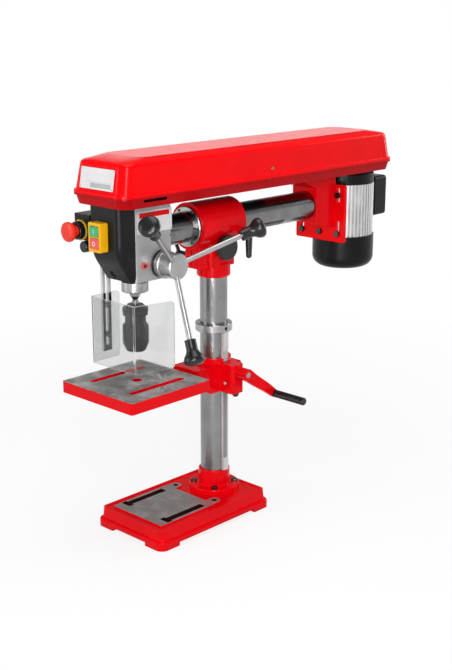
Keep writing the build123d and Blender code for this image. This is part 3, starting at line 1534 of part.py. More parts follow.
PARTS = {
    "base_casting": base_casting,
    "column_flange": column_flange,
    "flange_bolts": flange_bolts,
    "column": column,
    "rack": rack,
    "rack_ring": rack_ring,
    "table_casting": table_casting,
    "table_gear": table_gear,
    "crank_shaft": crank_shaft,
    "crank_arm": crank_arm,
    "crank_grip": crank_grip,
    "table_lock_lever": table_lock_lever,
    "arm_housing": arm_housing,
    "swivel_lock_lever": swivel_lock_lever,
    "ram_lock_lever": ram_lock_lever,
    "ram_pinion": ram_pinion,
    "ram_knob": ram_knob,
    "guide_bush": guide_bush,
    "ram": ram,
    "head_casting": head_casting,
    "front_cover": front_cover,
    "control_box": control_box,
    "estop_collar": estop_collar,
    "estop_button": estop_button,
    "switch_box": switch_box,
    "start_button": lambda: push_button(1),
    "stop_button": lambda: push_button(-1),
    "guard_rail": guard_rail,
    "guard_panel": guard_panel,
    "guard_screws": guard_screws,
    "guard_knob": guard_knob,
    "depth_pointer": depth_pointer,
    "feed_hub": feed_hub,
    "feed_rods": feed_rods,
    "feed_knobs": feed_knobs,
    "depth_ring": depth_ring,
    "spring_cap": spring_cap,
    "return_spring": return_spring,
    "quill": quill,
    "quill_bumper": quill_bumper,
    "spindle_bearings": spindle_bearings,
    "spindle": spindle,
    "chuck_body": chuck_body,
    "chuck_sleeve": chuck_sleeve,
    "chuck_jaw_1": lambda: chuck_jaw(0),
    "chuck_jaw_2": lambda: chuck_jaw(1),
    "chuck_jaw_3": lambda: chuck_jaw(2),
    "belt_pan": belt_pan,
    "belt_lid": belt_lid,
    "spindle_pulley": spindle_pulley,
    "motor_pulley": motor_pulley,
    "v_belt": v_belt,
    "rear_bracket": rear_bracket,
    "motor_plate": motor_plate,
    "motor_bolts": motor_bolts,
    "motor_body": motor_body,
    "fan_cover": fan_cover,
    "terminal_box": terminal_box,
    "motor_end_bell": motor_end_bell,
    "motor_rotor": motor_rotor,
}

os.makedirs("parts", exist_ok=True)
for node, make in PARTS.items():
    shape = make()
    if isinstance(shape, list):
        shape = Compound(children=shape)
    export_step(shape, f"parts/{node}.step")
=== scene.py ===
# %% [markdown]
# # A bench radial drill, dressed for the camera
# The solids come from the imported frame: every casting, shaft and lever already has its place and its joint.
# This script gives each of them a rounded, painted or ground skin, adds the small furniture that a workshop
# machine carries (screws, plates, graduations), and sets up a plain studio around it.

# %% Load the frame
import json
import math

import bmesh
import bpy
from mathutils import Matrix, Vector


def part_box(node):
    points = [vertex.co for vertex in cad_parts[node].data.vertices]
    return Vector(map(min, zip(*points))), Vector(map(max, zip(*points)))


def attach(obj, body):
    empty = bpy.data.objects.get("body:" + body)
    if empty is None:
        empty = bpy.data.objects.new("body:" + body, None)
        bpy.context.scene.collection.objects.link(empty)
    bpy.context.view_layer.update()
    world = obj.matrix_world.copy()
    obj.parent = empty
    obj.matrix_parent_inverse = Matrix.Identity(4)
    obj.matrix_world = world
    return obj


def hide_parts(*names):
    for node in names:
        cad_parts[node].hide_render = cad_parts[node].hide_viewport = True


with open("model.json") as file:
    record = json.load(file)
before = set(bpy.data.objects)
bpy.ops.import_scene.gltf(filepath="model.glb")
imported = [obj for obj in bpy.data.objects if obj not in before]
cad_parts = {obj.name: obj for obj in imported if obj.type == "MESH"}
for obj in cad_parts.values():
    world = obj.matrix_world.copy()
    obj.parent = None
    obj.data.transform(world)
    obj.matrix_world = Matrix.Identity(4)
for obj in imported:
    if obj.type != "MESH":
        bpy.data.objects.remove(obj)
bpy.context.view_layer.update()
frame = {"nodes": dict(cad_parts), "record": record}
body_of = {}
for body_name, members in frame["record"]["behaviour"]["bodies"].items():
    for member in members:
        body_of[member] = body_name
millimetre = 0.001


def box_mm(node):
    """The two far corners of a solid, in millimetres."""
    low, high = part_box(node)
    return low / millimetre, high / millimetre


# %% [markdown]
# ## Node helpers
# Shader trees are long to write by hand. A few small helpers keep the recipes below readable: one adds a
# node with its settings, one opens a node group with named inputs and outputs, and one feeds a socket from
# a link or from a plain number.


# %% Helpers for shader trees
def add_node(tree, kind, values=None, **settings):
    node = tree.nodes.new(kind)
    for name, value in settings.items():
        setattr(node, name, value)
    for name, value in (values or {}).items():
        node.inputs[name].default_value = value
    return node


def open_group(name, takes, gives):
    group = bpy.data.node_groups.new(name, "ShaderNodeTree")
    for label, kind, value in takes:
        socket = group.interface.new_socket(name=label, in_out="INPUT", socket_type=kind)
        socket.default_value = value
    for label, kind in gives:
        group.interface.new_socket(name=label, in_out="OUTPUT", socket_type=kind)
    return group, group.nodes.new("NodeGroupInput").outputs, group.nodes.new("NodeGroupOutput").inputs


def feed(tree, source, socket):
    """Links a source to a socket, or writes a plain number into it."""
    if isinstance(source, (int, float)):
        socket.default_value = source
    else:
        tree.links.new(source, socket)


print("node and group helpers ready")

# %% [markdown]
# The recipes mix colours, stretch a noise to a wanted range and add values up. Each of these is one node,
# so each gets one short function that makes the node, links it and hands back its output.


# %% Helpers for values
def mixed(tree, factor, first, second):
    node = tree.nodes.new("ShaderNodeMix")
    node.data_type = "RGBA"
    tree.links.new(factor, node.inputs["Factor"])
    sockets = [socket for socket in node.inputs if socket.type == "RGBA"]
    tree.links.new(first, sockets[0])
    tree.links.new(second, sockets[1])
    return next(socket for socket in node.outputs if socket.type == "RGBA")


def spread(tree, value, low, high, start=0.3, end=0.7):
    """Stretches a value from start and end to low and high."""
    node = tree.nodes.new("ShaderNodeMapRange")
    given = {"Value": value, "From Min": start, "From Max": end, "To Min": low, "To Max": high}
    for label, source in given.items():
        feed(tree, source, node.inputs[label])
    return node.outputs["Result"]


def noise(tree, vector, scale, detail=3.0, rough=0.55):
    node = add_node(tree, "ShaderNodeTexNoise", {"Detail": detail, "Roughness": rough})
    tree.links.new(vector, node.inputs["Vector"])
    feed(tree, scale, node.inputs["Scale"])
    return node.outputs["Fac"]


def maths(tree, operation, *sources):
    node = add_node(tree, "ShaderNodeMath", operation=operation)
    for source, socket in zip(sources, node.inputs):
        feed(tree, source, socket)
    return node.outputs["Value"]


def summed(tree, first, second, share):
    return maths(tree, "MULTIPLY_ADD", second, share, first)


def vectors(tree, operation, first, second):
    node = add_node(tree, "ShaderNodeVectorMath", operation=operation)
    tree.links.new(first, node.inputs[0])
    tree.links.new(second, node.inputs[1])
    return node.outputs["Vector"]


def length_of(tree, vector):
    node = add_node(tree, "ShaderNodeVectorMath", operation="LENGTH")
    tree.links.new(vector, node.inputs[0])
    return node.outputs["Value"]


def gloss_of(tree, value, given, start=0.3, end=0.7):
    """The roughness between a group's two gloss inputs."""
    return spread(tree, value, given["Gloss Low"], given["Gloss High"], start, end)


def object_place(tree):
    return tree.nodes.new("ShaderNodeTexCoord").outputs["Object"]


colour_socket, number_socket, vector_socket = "NodeSocketColor", "NodeSocketFloat", "NodeSocketVector"
gloss_inputs = [("Gloss Low", number_socket, 0.2), ("Gloss High", number_socket, 0.35)]
skin_outputs = [("Colour", colour_socket), ("Roughness", number_socket), ("Height", number_socket)]
print("value helpers ready")

# %% [markdown]
# ## Shared surface effects
# Four effects cover nearly the whole machine. Each is one group, so a change of its recipe reaches every
# material that uses it. The first is enamel, which pools and shrinks a little as it dries: that gives
# orange peel and slow drifts of tone. Its lighter edge tone on the rolled edges is partly chips where an
# edge is worn and partly a painted highlight.


# %% Enamel
def enamel_group():
    takes = [("Paint", colour_socket, (0.8, 0.0, 0.0, 1)), ("Deep", colour_socket, (0.5, 0.0, 0.0, 1)),
             ("Peel Scale", number_socket, 700.0), ("Cast Scale", number_socket, 150.0),
             ("Edge Tone", colour_socket, (1, 1, 1, 1))]
    group, given, result = open_group("enamel_skin", takes + gloss_inputs, skin_outputs)
    place = object_place(group)
    drift = noise(group, place, 14.0, 4.0)
    tone = mixed(group, spread(group, drift, 0.0, 1.0), given["Paint"], given["Deep"])
    # Along rolled edges the lighter edge tone is mixed in: worn chips, and in part a painted highlight.
    edge = add_node(group, "ShaderNodeAttribute", attribute_name="edge").outputs["Fac"]
    chips_and_highlights = spread(group, noise(group, place, 420.0, 5.0), 0.0, 1.0, 0.5, 0.62)
    worn = maths(group, "MULTIPLY", edge, chips_and_highlights)
    smear = noise(group, place, 38.0, 5.0, 0.65)
    peel = noise(group, place, given["Peel Scale"], 2.0)
    cast = noise(group, place, given["Cast Scale"], 4.0)
    group.links.new(mixed(group, worn, tone, given["Edge Tone"]), result["Colour"])
    group.links.new(gloss_of(group, smear, given), result["Roughness"])
    group.links.new(summed(group, cast, peel, 0.35), result["Height"])
    return group


enamel = enamel_group()
print("surface group:", enamel.name)

# %% [markdown]
# Ground steel carries fine lines in the direction that the wheel moved, and faint stains from oil and
# hands. An image of scratches would repeat on the tall column, so the lines are a noise that is stretched
# along the wheel's way.


# %% Ground metal
def ground_group():
    takes = [("Light", colour_socket, (0.6, 0.6, 0.6, 1)), ("Dark", colour_socket, (0.4, 0.4, 0.4, 1)),
             ("Stretch", vector_socket, (20, 20, 900))]
    group, given, result = open_group("ground_metal", takes + gloss_inputs, skin_outputs)
    place = object_place(group)
    lines = noise(group, vectors(group, "MULTIPLY", place, given["Stretch"]), 1.0, 6.0, 0.7)
    stain = noise(group, place, 22.0, 5.0, 0.6)
    both = summed(group, spread(group, stain, 0.0, 0.6), lines, 0.55)
    tone = mixed(group, spread(group, both, 0.0, 1.0, 0.2, 0.8), given["Light"], given["Dark"])
    group.links.new(tone, result["Colour"])
    group.links.new(gloss_of(group, both, given, 0.2, 0.8), result["Roughness"])
    group.links.new(lines, result["Height"])
    return group


ground = ground_group()
print("surface group:", ground.name)

# %% [markdown]
# A milled or hand-scraped face has rings and worn patches, and a fan of light scratches where work was
# pushed about. All of it is too shallow to model, so it is tone and bump. The fan is a noise over the angle
# about one point, which fades with the distance from it.


# %% Milled face
def scratch_fan(group, place, given):
    away = vectors(group, "SUBTRACT", place, given["Fan Centre"])
    parts = group.nodes.new("ShaderNodeSeparateXYZ")
    group.links.new(away, parts.inputs["Vector"])
    turn = maths(group, "ARCTAN2", parts.outputs["Y"], parts.outputs["X"])
    reach = length_of(group, away)
    polar = group.nodes.new("ShaderNodeCombineXYZ")
    group.links.new(turn, polar.inputs["X"])
    group.links.new(reach, polar.inputs["Y"])
    rays = spread(group, noise(group, polar.outputs["Vector"], 14.0, 3.0), 0.0, 0.6, 0.52, 0.64)
    return maths(group, "MULTIPLY", rays, spread(group, reach, 1.0, 0.0, 0.0, given["Fan Reach"]))


def milled_group():
    takes = [("Light", colour_socket, (0.6, 0.58, 0.56, 1)), ("Dark", colour_socket, (0.25, 0.24, 0.24, 1)),
             ("Ring Centre", vector_socket, (0, 0, 0)), ("Ring Scale", number_socket, 90.0),
             ("Fan Centre", vector_socket, (0, 0, 0)), ("Fan Reach", number_socket, 0.07)]
    group, given, result = open_group("milled_face", takes + gloss_inputs, skin_outputs)
    place = object_place(group)
    wave = add_node(group, "ShaderNodeTexWave", {"Distortion": 2.5, "Detail": 3.0, "Detail Scale": 2.0},
                    wave_type="RINGS", rings_direction="Z")
    group.links.new(vectors(group, "SUBTRACT", place, given["Ring Centre"]), wave.inputs["Vector"])
    group.links.new(given["Ring Scale"], wave.inputs["Scale"])
    rings = wave.outputs["Fac"]
    patch = noise(group, place, 24.0, 6.0, 0.65)
    fine = noise(group, place, 260.0, 5.0, 0.7)
    worn = summed(group, summed(group, patch, fine, 0.3), rings, 0.26)
    scratched = maths(group, "SUBTRACT", worn, scratch_fan(group, place, given))
    tone = mixed(group, spread(group, scratched, 0.0, 1.0, 0.58, 0.82), given["Light"], given["Dark"])
    group.links.new(tone, result["Colour"])
    group.links.new(gloss_of(group, worn, given, 0.5, 0.85), result["Roughness"])
    group.links.new(summed(group, fine, rings, 0.6), result["Height"])
    return group


milled = milled_group()
print("surface group:", milled.name)

# %% [markdown]
# Moulded plastic has the fine grain of its spark-eroded mould, with duller areas where hands rub it. The
# grain is far too fine to model, so it is a bump, and the rubbed areas are a slow noise in the roughness.


# %% Moulded grain
def moulded_group():
    takes = [("Base", colour_socket, (0.02, 0.02, 0.02, 1)), ("Rubbed", colour_socket, (0.04, 0.04, 0.04, 1)),
             ("Grain Scale", number_socket, 1500.0)]
    group, given, result = open_group("moulded_grain", takes + gloss_inputs, skin_outputs)
    place = object_place(group)
    handled = noise(group, place, 30.0, 5.0, 0.6)
    tone = mixed(group, spread(group, handled, 0.0, 1.0), given["Base"], given["Rubbed"])
    group.links.new(tone, result["Colour"])
    group.links.new(gloss_of(group, handled, given), result["Roughness"])
    group.links.new(noise(group, place, given["Grain Scale"], 2.0), result["Height"])
    return group


moulded = moulded_group()
print("surface group:", moulded.name)

# %% [markdown]
# ## Materials
# One function makes every material: a surface group drives colour, roughness and bump of a Principled
# shader, and what is the same all over the surface is set on the shader itself. Three short makers stand in
# front of it, for paint, ground metal and plastic. Colours are linear values, gloss is the roughness at its
# lowest and highest, and bump is a strength with a depth in millimetres.


# %% Material makers
shader_inputs = {"metal": "Metallic", "specular": "Specular IOR Level", "clear": "Transmission Weight",
                 "ior": "IOR"}


def material_from(name, group, values, gloss, bump, **plain):
    material = bpy.data.materials.new(name)
    material.use_nodes = True
    tree = material.node_tree
    shader = tree.nodes["Principled BSDF"]
    skin = tree.nodes.new("ShaderNodeGroup")
    skin.node_tree = group
    for label, value in {**values, "Gloss Low": gloss[0], "Gloss High": gloss[1]}.items():
        skin.inputs[label].default_value = value
    tree.links.new(skin.outputs["Colour"], shader.inputs["Base Color"])
    tree.links.new(skin.outputs["Roughness"], shader.inputs["Roughness"])
    relief = add_node(tree, "ShaderNodeBump", {"Strength": bump[0], "Distance": bump[1] * millimetre})
    tree.links.new(skin.outputs["Height"], relief.inputs["Height"])
    tree.links.new(relief.outputs["Normal"], shader.inputs["Normal"])
    for label, value in plain.items():
        shader.inputs[shader_inputs[label]].default_value = value
    return material


def tint(red, green=None, blue=None):
    """A full colour, or a neutral grey from one number."""
    return (red, red if green is None else green, red if blue is None else blue, 1)


def paint(name, colour, deep, worn, peel, cast, **rest):
    values = {"Paint": colour, "Deep": deep, "Edge Tone": worn, "Peel Scale": peel, "Cast Scale": cast}
    return material_from(name, enamel, values, **rest)


def metal_of(name, light, dark, stretch, metal=1.0, **rest):
    values = {"Light": light, "Dark": dark, "Stretch": stretch}
    return material_from(name, ground, values, metal=metal, **rest)


def plastic(name, base, rubbed, grain, **rest):
    return material_from(name, moulded, {"Base": base, "Rubbed": rubbed, "Grain Scale": grain}, **rest)


print("material makers ready")

# %% [markdown]
# The enamel is a strong signal red. Castings get a lumpier bump than sheet metal, because sand leaves its
# mark under the paint. The head is silver, the motor's ends are black, and slots and holes are painted dark
# with slot_shade, as painted shade.

# %% Paints
signal_red, cast_tone = tint(0.88, 0.0006, 0.003), tint(0.82, 0.0008, 0.005)
# The edge tones, this light red and the lighter silver and black ones below, stand for worn paint and in part
# for a painted highlight on the edges.
deep_red, wear_and_highlight_red = tint(0.7, 0.0006, 0.005), tint(1.0, 0.09, 0.09)
cast_red = paint("cast_red_enamel", cast_tone, deep_red, wear_and_highlight_red, peel=600.0, cast=130.0,
                 gloss=(0.1, 0.2), bump=(0.06, 0.35), specular=0.09)
sheet_red = paint("sheet_red_enamel", signal_red, tint(0.8, 0.0005, 0.003), wear_and_highlight_red, peel=900.0, cast=20.0,
                  gloss=(0.16, 0.22), bump=(0.01, 0.3), specular=0.09)
# A darker copy of the sheet red: painted shade on the pan's walls.
shaded_pan_red = paint("pan_red_enamel", tint(0.5, 0.0006, 0.004), tint(0.42, 0.0005, 0.003), wear_and_highlight_red, peel=900.0,
                cast=20.0, gloss=(0.2, 0.3), bump=(0.01, 0.3), specular=0.08)
slot_shade = paint("slot_shade", tint(0.035, 0.001, 0.002), tint(0.018, 0.001, 0.001), tint(0.2, 0.05, 0.05),
                   peel=600.0, cast=130.0, gloss=(0.5, 0.7), bump=(0.2, 0.4), specular=0.1)
silver_enamel = paint("silver_enamel", tint(0.40, 0.40, 0.405), tint(0.34, 0.34, 0.345), tint(0.6),
                      peel=900.0, cast=300.0, gloss=(0.34, 0.46), bump=(0.08, 0.3), metal=0.35)
black_enamel = paint("black_enamel", tint(0.006), tint(0.008), tint(0.03), peel=700.0, cast=260.0,
                     gloss=(0.26, 0.4), bump=(0.1, 0.3), specular=0.12)
print(len(bpy.data.materials), "materials so far")

# %% [markdown]
# The column and the ram are ground all round, so their lines run across the axis. Rods and hub are
# brighter, the chuck and the bolts are blackened, and the motor's ribs are satin aluminium, with a darker
# copy in the grooves as painted shade.

# %% Metals
column_steel = metal_of("column_steel", tint(0.3), tint(0.22), (60, 60, 1500), gloss=(0.18, 0.26),
                        bump=(0.8, 0.2))
ram_steel = metal_of("ram_steel", tint(0.24), tint(0.17), (60, 1500, 60), gloss=(0.16, 0.24),
                     bump=(0.03, 0.05))
turned_steel = metal_of("turned_steel", tint(0.46), tint(0.32), (300, 300, 1800), gloss=(0.2, 0.32),
                        bump=(0.06, 0.05))
bright_chrome = metal_of("bright_chrome", tint(0.52, 0.52, 0.53), tint(0.42, 0.42, 0.43), (240, 240, 240),
                         gloss=(0.3, 0.4), bump=(0.01, 0.02))
drawn_bar = metal_of("drawn_bar", tint(0.44, 0.44, 0.45), tint(0.36, 0.36, 0.37), (240, 240, 240),
                     gloss=(0.26, 0.34), bump=(0.01, 0.02))
black_oxide = metal_of("black_oxide", tint(0.09, 0.09, 0.092), tint(0.035, 0.035, 0.037), (260, 260, 1500),
                       gloss=(0.2, 0.32), bump=(0.1, 0.05))
chuck_black = metal_of("chuck_black", tint(0.085), tint(0.012), (90, 90, 30), metal=0.9, gloss=(0.24, 0.36),
                       bump=(0.1, 0.05), specular=0.2)
satin_aluminium = metal_of("satin_aluminium", tint(0.66, 0.66, 0.67), tint(0.55, 0.55, 0.56), (200, 200, 200),
                           metal=0.8, gloss=(0.34, 0.46), bump=(0.04, 0.06))
# A darker copy of the satin aluminium: painted shade for the grooves between the motor's ribs.
groove_shade_aluminium = metal_of("groove_shade_aluminium", tint(0.46, 0.46, 0.465), tint(0.36, 0.36, 0.365),
                            (200, 200, 200), metal=0.8, gloss=(0.4, 0.55), bump=(0.04, 0.06))
zinc_plate = metal_of("zinc_plate", tint(0.7), tint(0.56, 0.56, 0.55), (300, 300, 300), metal=0.5,
                      gloss=(0.3, 0.45), bump=(0.05, 0.05))
motor_iron = metal_of("motor_iron", tint(0.3, 0.3, 0.31), tint(0.18, 0.17, 0.17), (500, 500, 200),
                      gloss=(0.4, 0.6), bump=(0.2, 0.1))
bronze_screw = metal_of("bronze_screw", tint(0.35, 0.2, 0.09), tint(0.2, 0.11, 0.05), (900, 900, 900),
                        gloss=(0.3, 0.45), bump=(0.1, 0.05))
print(len(bpy.data.materials), "materials so far")

# %% [markdown]
# Two faces are bare cast iron, milled and then worn: the table's top, whose rings start under the spindle,
# and the pad of the base, whose rings start beside its middle. Only the table shows the fan of scratches.

# %% Milled irons
table_iron = material_from("table_iron", milled, {
    "Light": tint(0.95, 0.93, 0.91), "Dark": tint(0.26, 0.25, 0.245), "Ring Centre": (0.0, -0.2265, 0.345),
    "Ring Scale": 70.0, "Fan Centre": (0.045, -0.195, 0.345), "Fan Reach": 0.085},
    gloss=(0.36, 0.56), bump=(0.1, 0.05), metal=1.0)
pad_iron = material_from("pad_iron", milled, {
    "Light": tint(0.68, 0.665, 0.66), "Dark": tint(0.4, 0.385, 0.38), "Ring Centre": (0.05, -0.4, 0.044),
    "Ring Scale": 50.0}, gloss=(0.36, 0.54), bump=(0.08, 0.05), metal=1.0)
print(len(bpy.data.materials), "materials so far")

# %% [markdown]
# Knobs and grips are glossy black, the cover and the boxes a duller black. The guard is a clear sheet with
# a faint grey cast; its bend is half clear and whiter as a painted highlight, and its sawn edges are milky:
# frosted, and in part a painted highlight. Plain transmission makes it, rather than a blend with a
# see-through shader.

# %% Plastics
black_plastic = plastic("black_plastic", tint(0.007), tint(0.01), grain=1400.0, gloss=(0.3, 0.42),
                        bump=(0.12, 0.12), specular=0.14)
gloss_black = plastic("gloss_black", tint(0.006, 0.006, 0.0065), tint(0.01, 0.01, 0.0105), grain=500.0,
                      gloss=(0.22, 0.32), bump=(0.03, 0.1), specular=0.4)
black_rubber = plastic("black_rubber", tint(0.008), tint(0.016), grain=900.0, gloss=(0.6, 0.8),
                       bump=(0.3, 0.2), specular=0.25)
yellow_plastic = plastic("yellow_plastic", tint(0.92, 0.47, 0.002), tint(0.86, 0.42, 0.003), grain=1200.0,
                         gloss=(0.26, 0.4), bump=(0.05, 0.1), specular=0.3)
collar_yellow = plastic("collar_yellow", tint(0.62, 0.4, 0.03), tint(0.55, 0.36, 0.035), grain=1200.0,
                        gloss=(0.3, 0.45), bump=(0.05, 0.1), specular=0.3)
red_plastic = plastic("red_plastic", tint(0.86, 0.03, 0.012), tint(0.78, 0.035, 0.018), grain=900.0,
                      gloss=(0.22, 0.34), bump=(0.04, 0.1), specular=0.3)
stop_plastic = plastic("stop_plastic", tint(0.80, 0.10, 0.09), tint(0.72, 0.12, 0.1), grain=900.0,
                       gloss=(0.24, 0.4), bump=(0.04, 0.1), specular=0.3)
green_plastic = plastic("green_plastic", tint(0.035, 0.36, 0.13), tint(0.06, 0.42, 0.17), grain=900.0,
                        gloss=(0.24, 0.4), bump=(0.04, 0.1), specular=0.3)
plate_white = plastic("plate_white", tint(0.74, 0.74, 0.75), tint(0.66, 0.66, 0.67), grain=800.0,
                      gloss=(0.3, 0.45), bump=(0.03, 0.05))
mark_white = plastic("mark_white", tint(0.82, 0.82, 0.8), tint(0.72, 0.72, 0.7), grain=800.0,
                     gloss=(0.35, 0.5), bump=(0.02, 0.05))
clear_sheet = plastic("clear_sheet", tint(0.75, 0.755, 0.755), tint(0.7, 0.705, 0.705), grain=300.0,
                      gloss=(0.04, 0.1), bump=(0.02, 0.05), clear=1.0, ior=1.4, specular=0.2)
# The bend's whiter, half-clear sheet is a painted highlight.
sheet_bend_highlight = plastic("sheet_bend_highlight", tint(0.88, 0.89, 0.89), tint(0.82, 0.83, 0.83), grain=500.0,
                     gloss=(0.2, 0.3), bump=(0.03, 0.05), clear=0.65, ior=1.4, specular=0.3)
# The rim's milky white is the frosting of sawn edges and in part a painted highlight.
sheet_rim_frost_highlight = plastic("sheet_rim_frost_highlight", tint(0.9, 0.91, 0.91), tint(0.8, 0.81, 0.81), grain=500.0,
                    gloss=(0.3, 0.45), bump=(0.05, 0.05), specular=0.4)
print(len(bpy.data.materials), "materials")

# %% [markdown]
# ## Dressing the solids
# The imported solids have knife-sharp edges, which real castings and turned parts never have. Each visible
# solid is copied, welded into one skin, its flat triangles joined into plain faces and its sharp edges
# rolled by a small radius. A value named edge marks the middle of each roll, so the paint can show wear
# there, together with a painted highlight. Large flat faces keep their own normals through weighted
# normals, which is what makes the roundings read as small and crisp.

# %% Plain mesh and even shading
weld = 2e-6
flat_angle = math.radians(0.25)
roll_angle = math.radians(34)
smooth_angle = math.radians(42)


def settle(piece):
    """Turns a piece's modifiers into plain mesh."""
    bpy.context.view_layer.update()
    shown = piece.evaluated_get(bpy.context.evaluated_depsgraph_get())
    mesh = bpy.data.meshes.new_from_object(shown)
    piece.modifiers.clear()
    piece.data = mesh
    return piece


def even_shading(piece):
    for face in piece.data.polygons:
        face.use_smooth = True
    piece.data.set_sharp_from_angle(angle=smooth_angle)
    normals = piece.modifiers.new("even_shading", "WEIGHTED_NORMAL")
    normals.keep_sharp = True
    normals.weight = 60
    return settle(piece)


print("shading helpers ready")

# %% [markdown]
# A bevel rolls only the sharp edges, those that turn by more than the given angle. The flat triangles of
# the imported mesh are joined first, because a bevel would trip over edges that lie within a plane.


# %% Rolled edges
def roll(skin, edges, radius, segments):
    return bmesh.ops.bevel(skin, geom=edges, offset=radius, offset_type="OFFSET", segments=segments,
                           profile=0.5, affect="EDGES", clamp_overlap=True)


def roll_edges(skin, radius):
    bmesh.ops.dissolve_limit(skin, angle_limit=flat_angle, use_dissolve_boundaries=False, verts=skin.verts[:],
                             edges=skin.edges[:], delimit={"NORMAL"})
    edge_mark = skin.verts.layers.float.new("edge")
    if not radius:
        return
    sharp = [edge for edge in skin.edges if len(edge.link_faces) == 2 and edge.calc_face_angle() > roll_angle]
    made = roll(skin, sharp, radius, 2)
    rolled = set(made["faces"])
    for face in made["faces"]:
        for corner in face.verts:
            if all(near in rolled for near in corner.link_faces):
                corner[edge_mark] = 1.0


def new_piece(name, skin, materials):
    mesh = bpy.data.meshes.new(name)
    skin.to_mesh(mesh)
    skin.free()
    for material in materials:
        mesh.materials.append(material)
    piece = bpy.data.objects.new(name, mesh)
    bpy.context.scene.collection.objects.link(piece)
    return piece


print("edge helpers ready")

# %% [markdown]
# Dressing a solid puts these together. Cutters, where a piece has some, are taken out of it before the
# shading, so that the rims they leave are shaded as well.


# %% A dressed solid
def dress(node, materials, radius=0.5, choose=None, cutters=()):
    """Replaces a solid by its rolled, smooth-shaded skin; choose gives each face its material."""
    skin = bmesh.new()
    skin.from_mesh(frame["nodes"][node].data)
    bmesh.ops.remove_doubles(skin, verts=skin.verts[:], dist=weld)
    roll_edges(skin, radius * millimetre)
    for face in skin.faces:
        face.material_index = choose(face) if choose else 0
    piece = new_piece(node + "_skin", skin, materials)
    for cutter in cutters:
        cut = piece.modifiers.new("cut", "BOOLEAN")
        cut.object = cutter
        cut.solver = "EXACT"
        cut.material_mode = "TRANSFER"
    if cutters:
        settle(piece)
        for cutter in cutters:
            bpy.data.objects.remove(cutter)
    even_shading(piece)
    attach(piece, body_of[node])
    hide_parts(node)
    return piece


def dress_all(material, **rolls):
    """Dresses solids of one material; each is named with the roll of its edges in millimetres."""
    for node, radius in rolls.items():
        dress(node, [material], radius)
    print(len(rolls), "solids in", material.name)


print("dressing ready")

# %% [markdown]
# Two faces of the castings are left bare and milled: the table's top and the pad of the base. The table's
# slots are red inside, while those of the base are deep, and their walls and the bench holes are painted
# dark as shade. Faces are told apart by where they lie, so no hand-painted mask is needed.

# %% Castings
table_face_z, table_back_y = 0.345, -0.121
pad_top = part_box("base_casting")[1].z
same_plane, level, near_level = 0.00002, 0.99, 0.98
base_slot = {"x": 61.0, "half": 14.5, "front": -214.5, "back": -97.5}
bench_hole = {"y": -62.0, "radius": 7.5}


def table_paint(face):
    centre = face.calc_center_median()
    on_top = abs(centre.z - table_face_z) < same_plane and face.normal.z > level
    return 1 if on_top and centre.y < table_back_y else 0


def base_paint(face):
    centre = face.calc_center_median()
    if abs(centre.z - pad_top) < same_plane and face.normal.z > level:
        return 1
    across = abs(centre.x) / millimetre - base_slot["x"]
    along = centre.y / millimetre
    in_slot = abs(across) < base_slot["half"] and base_slot["front"] < along < base_slot["back"]
    in_hole = math.hypot(across, along - bench_hole["y"]) < bench_hole["radius"]
    # Faces inside the base's slots and bench holes take slot_shade: painted shade in the recesses.
    return 2 if (in_slot or in_hole) and face.normal.z < near_level else 0


dress("table_casting", [cast_red, table_iron], 1.6, table_paint)
dress("base_casting", [cast_red, pad_iron, slot_shade], 2.0, base_paint)
dress_all(cast_red, column_flange=1.8, arm_housing=2.2, crank_arm=1.2, rear_bracket=2.0)
dress_all(sheet_red, motor_plate=0.8, belt_lid=0.0)

# %% [markdown]
# The belt pan has a long slot in its right wall, where its sheet was pierced for a catch, and the head has
# a small tapped hole. Both are cut with a boolean: a bar is pushed through the wall and taken away again,
# and the walls it leaves take the bar's dark slot_shade, a painted shade. The pan's red is a darker copy of
# the sheet red, painted shade, and its underside is painted black as shade.


# %% Pierced sheet
def cutter_bar(name, low, high, material):
    """A box between two corners in millimetres, with rounded ends, to cut with."""
    skin = bmesh.new()
    bmesh.ops.create_cube(skin, size=1.0)
    size = Vector(high) - Vector(low)
    middle = (Vector(high) + Vector(low)) / 2
    bmesh.ops.scale(skin, vec=size * millimetre, verts=skin.verts[:])
    bmesh.ops.translate(skin, vec=middle * millimetre, verts=skin.verts[:])
    reach = 0.9 * size.x * millimetre
    across = [edge for edge in skin.edges if abs((edge.verts[0].co - edge.verts[1].co).x) > reach]
    roll(skin, across, 0.45 * min(size.y, size.z) * millimetre, 4)
    return new_piece(name, skin, [material])


# Faces that look down get black enamel: painted shade under the pan.
def pan_shade_part(face):
    return 1 if face.normal.z < downwards else 0


downwards = -0.7
pan_slot_ends = (70.0, -268.5, 726.5), (90.0, -208.5, 732.0)
tapped_hole_ends = (41.0, -171.5, 644.6), (50.0, -165.9, 650.2)
# The cutters' slot_shade passes to the walls they leave: painted shade in the slot and in the hole.
pan_slot = cutter_bar("pan_slot", *pan_slot_ends, slot_shade)
dress("belt_pan", [shaded_pan_red, black_enamel], 0.8, pan_shade_part, [pan_slot])
tapped_hole = cutter_bar("tapped_hole", *tapped_hole_ends, slot_shade)
dress("head_casting", [silver_enamel], 1.0, cutters=[tapped_hole])
print("pan and head pierced")

# %% [markdown]
# Shafts, rings and fasteners get a much smaller roll: a tenth of a millimetre or so is what a file takes
# off a turned edge. The gaps between the rack's teeth and the flanks that look down are painted dark, as
# shade.

# %% Turned and ground parts
rack_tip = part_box("rack")[1].x
rack_gap, rack_deep = 0.4 * millimetre, 5.0 * millimetre
tooth_floor, tooth_flank, flank_down = 0.7, 0.2, -0.5
end_face = 0.9


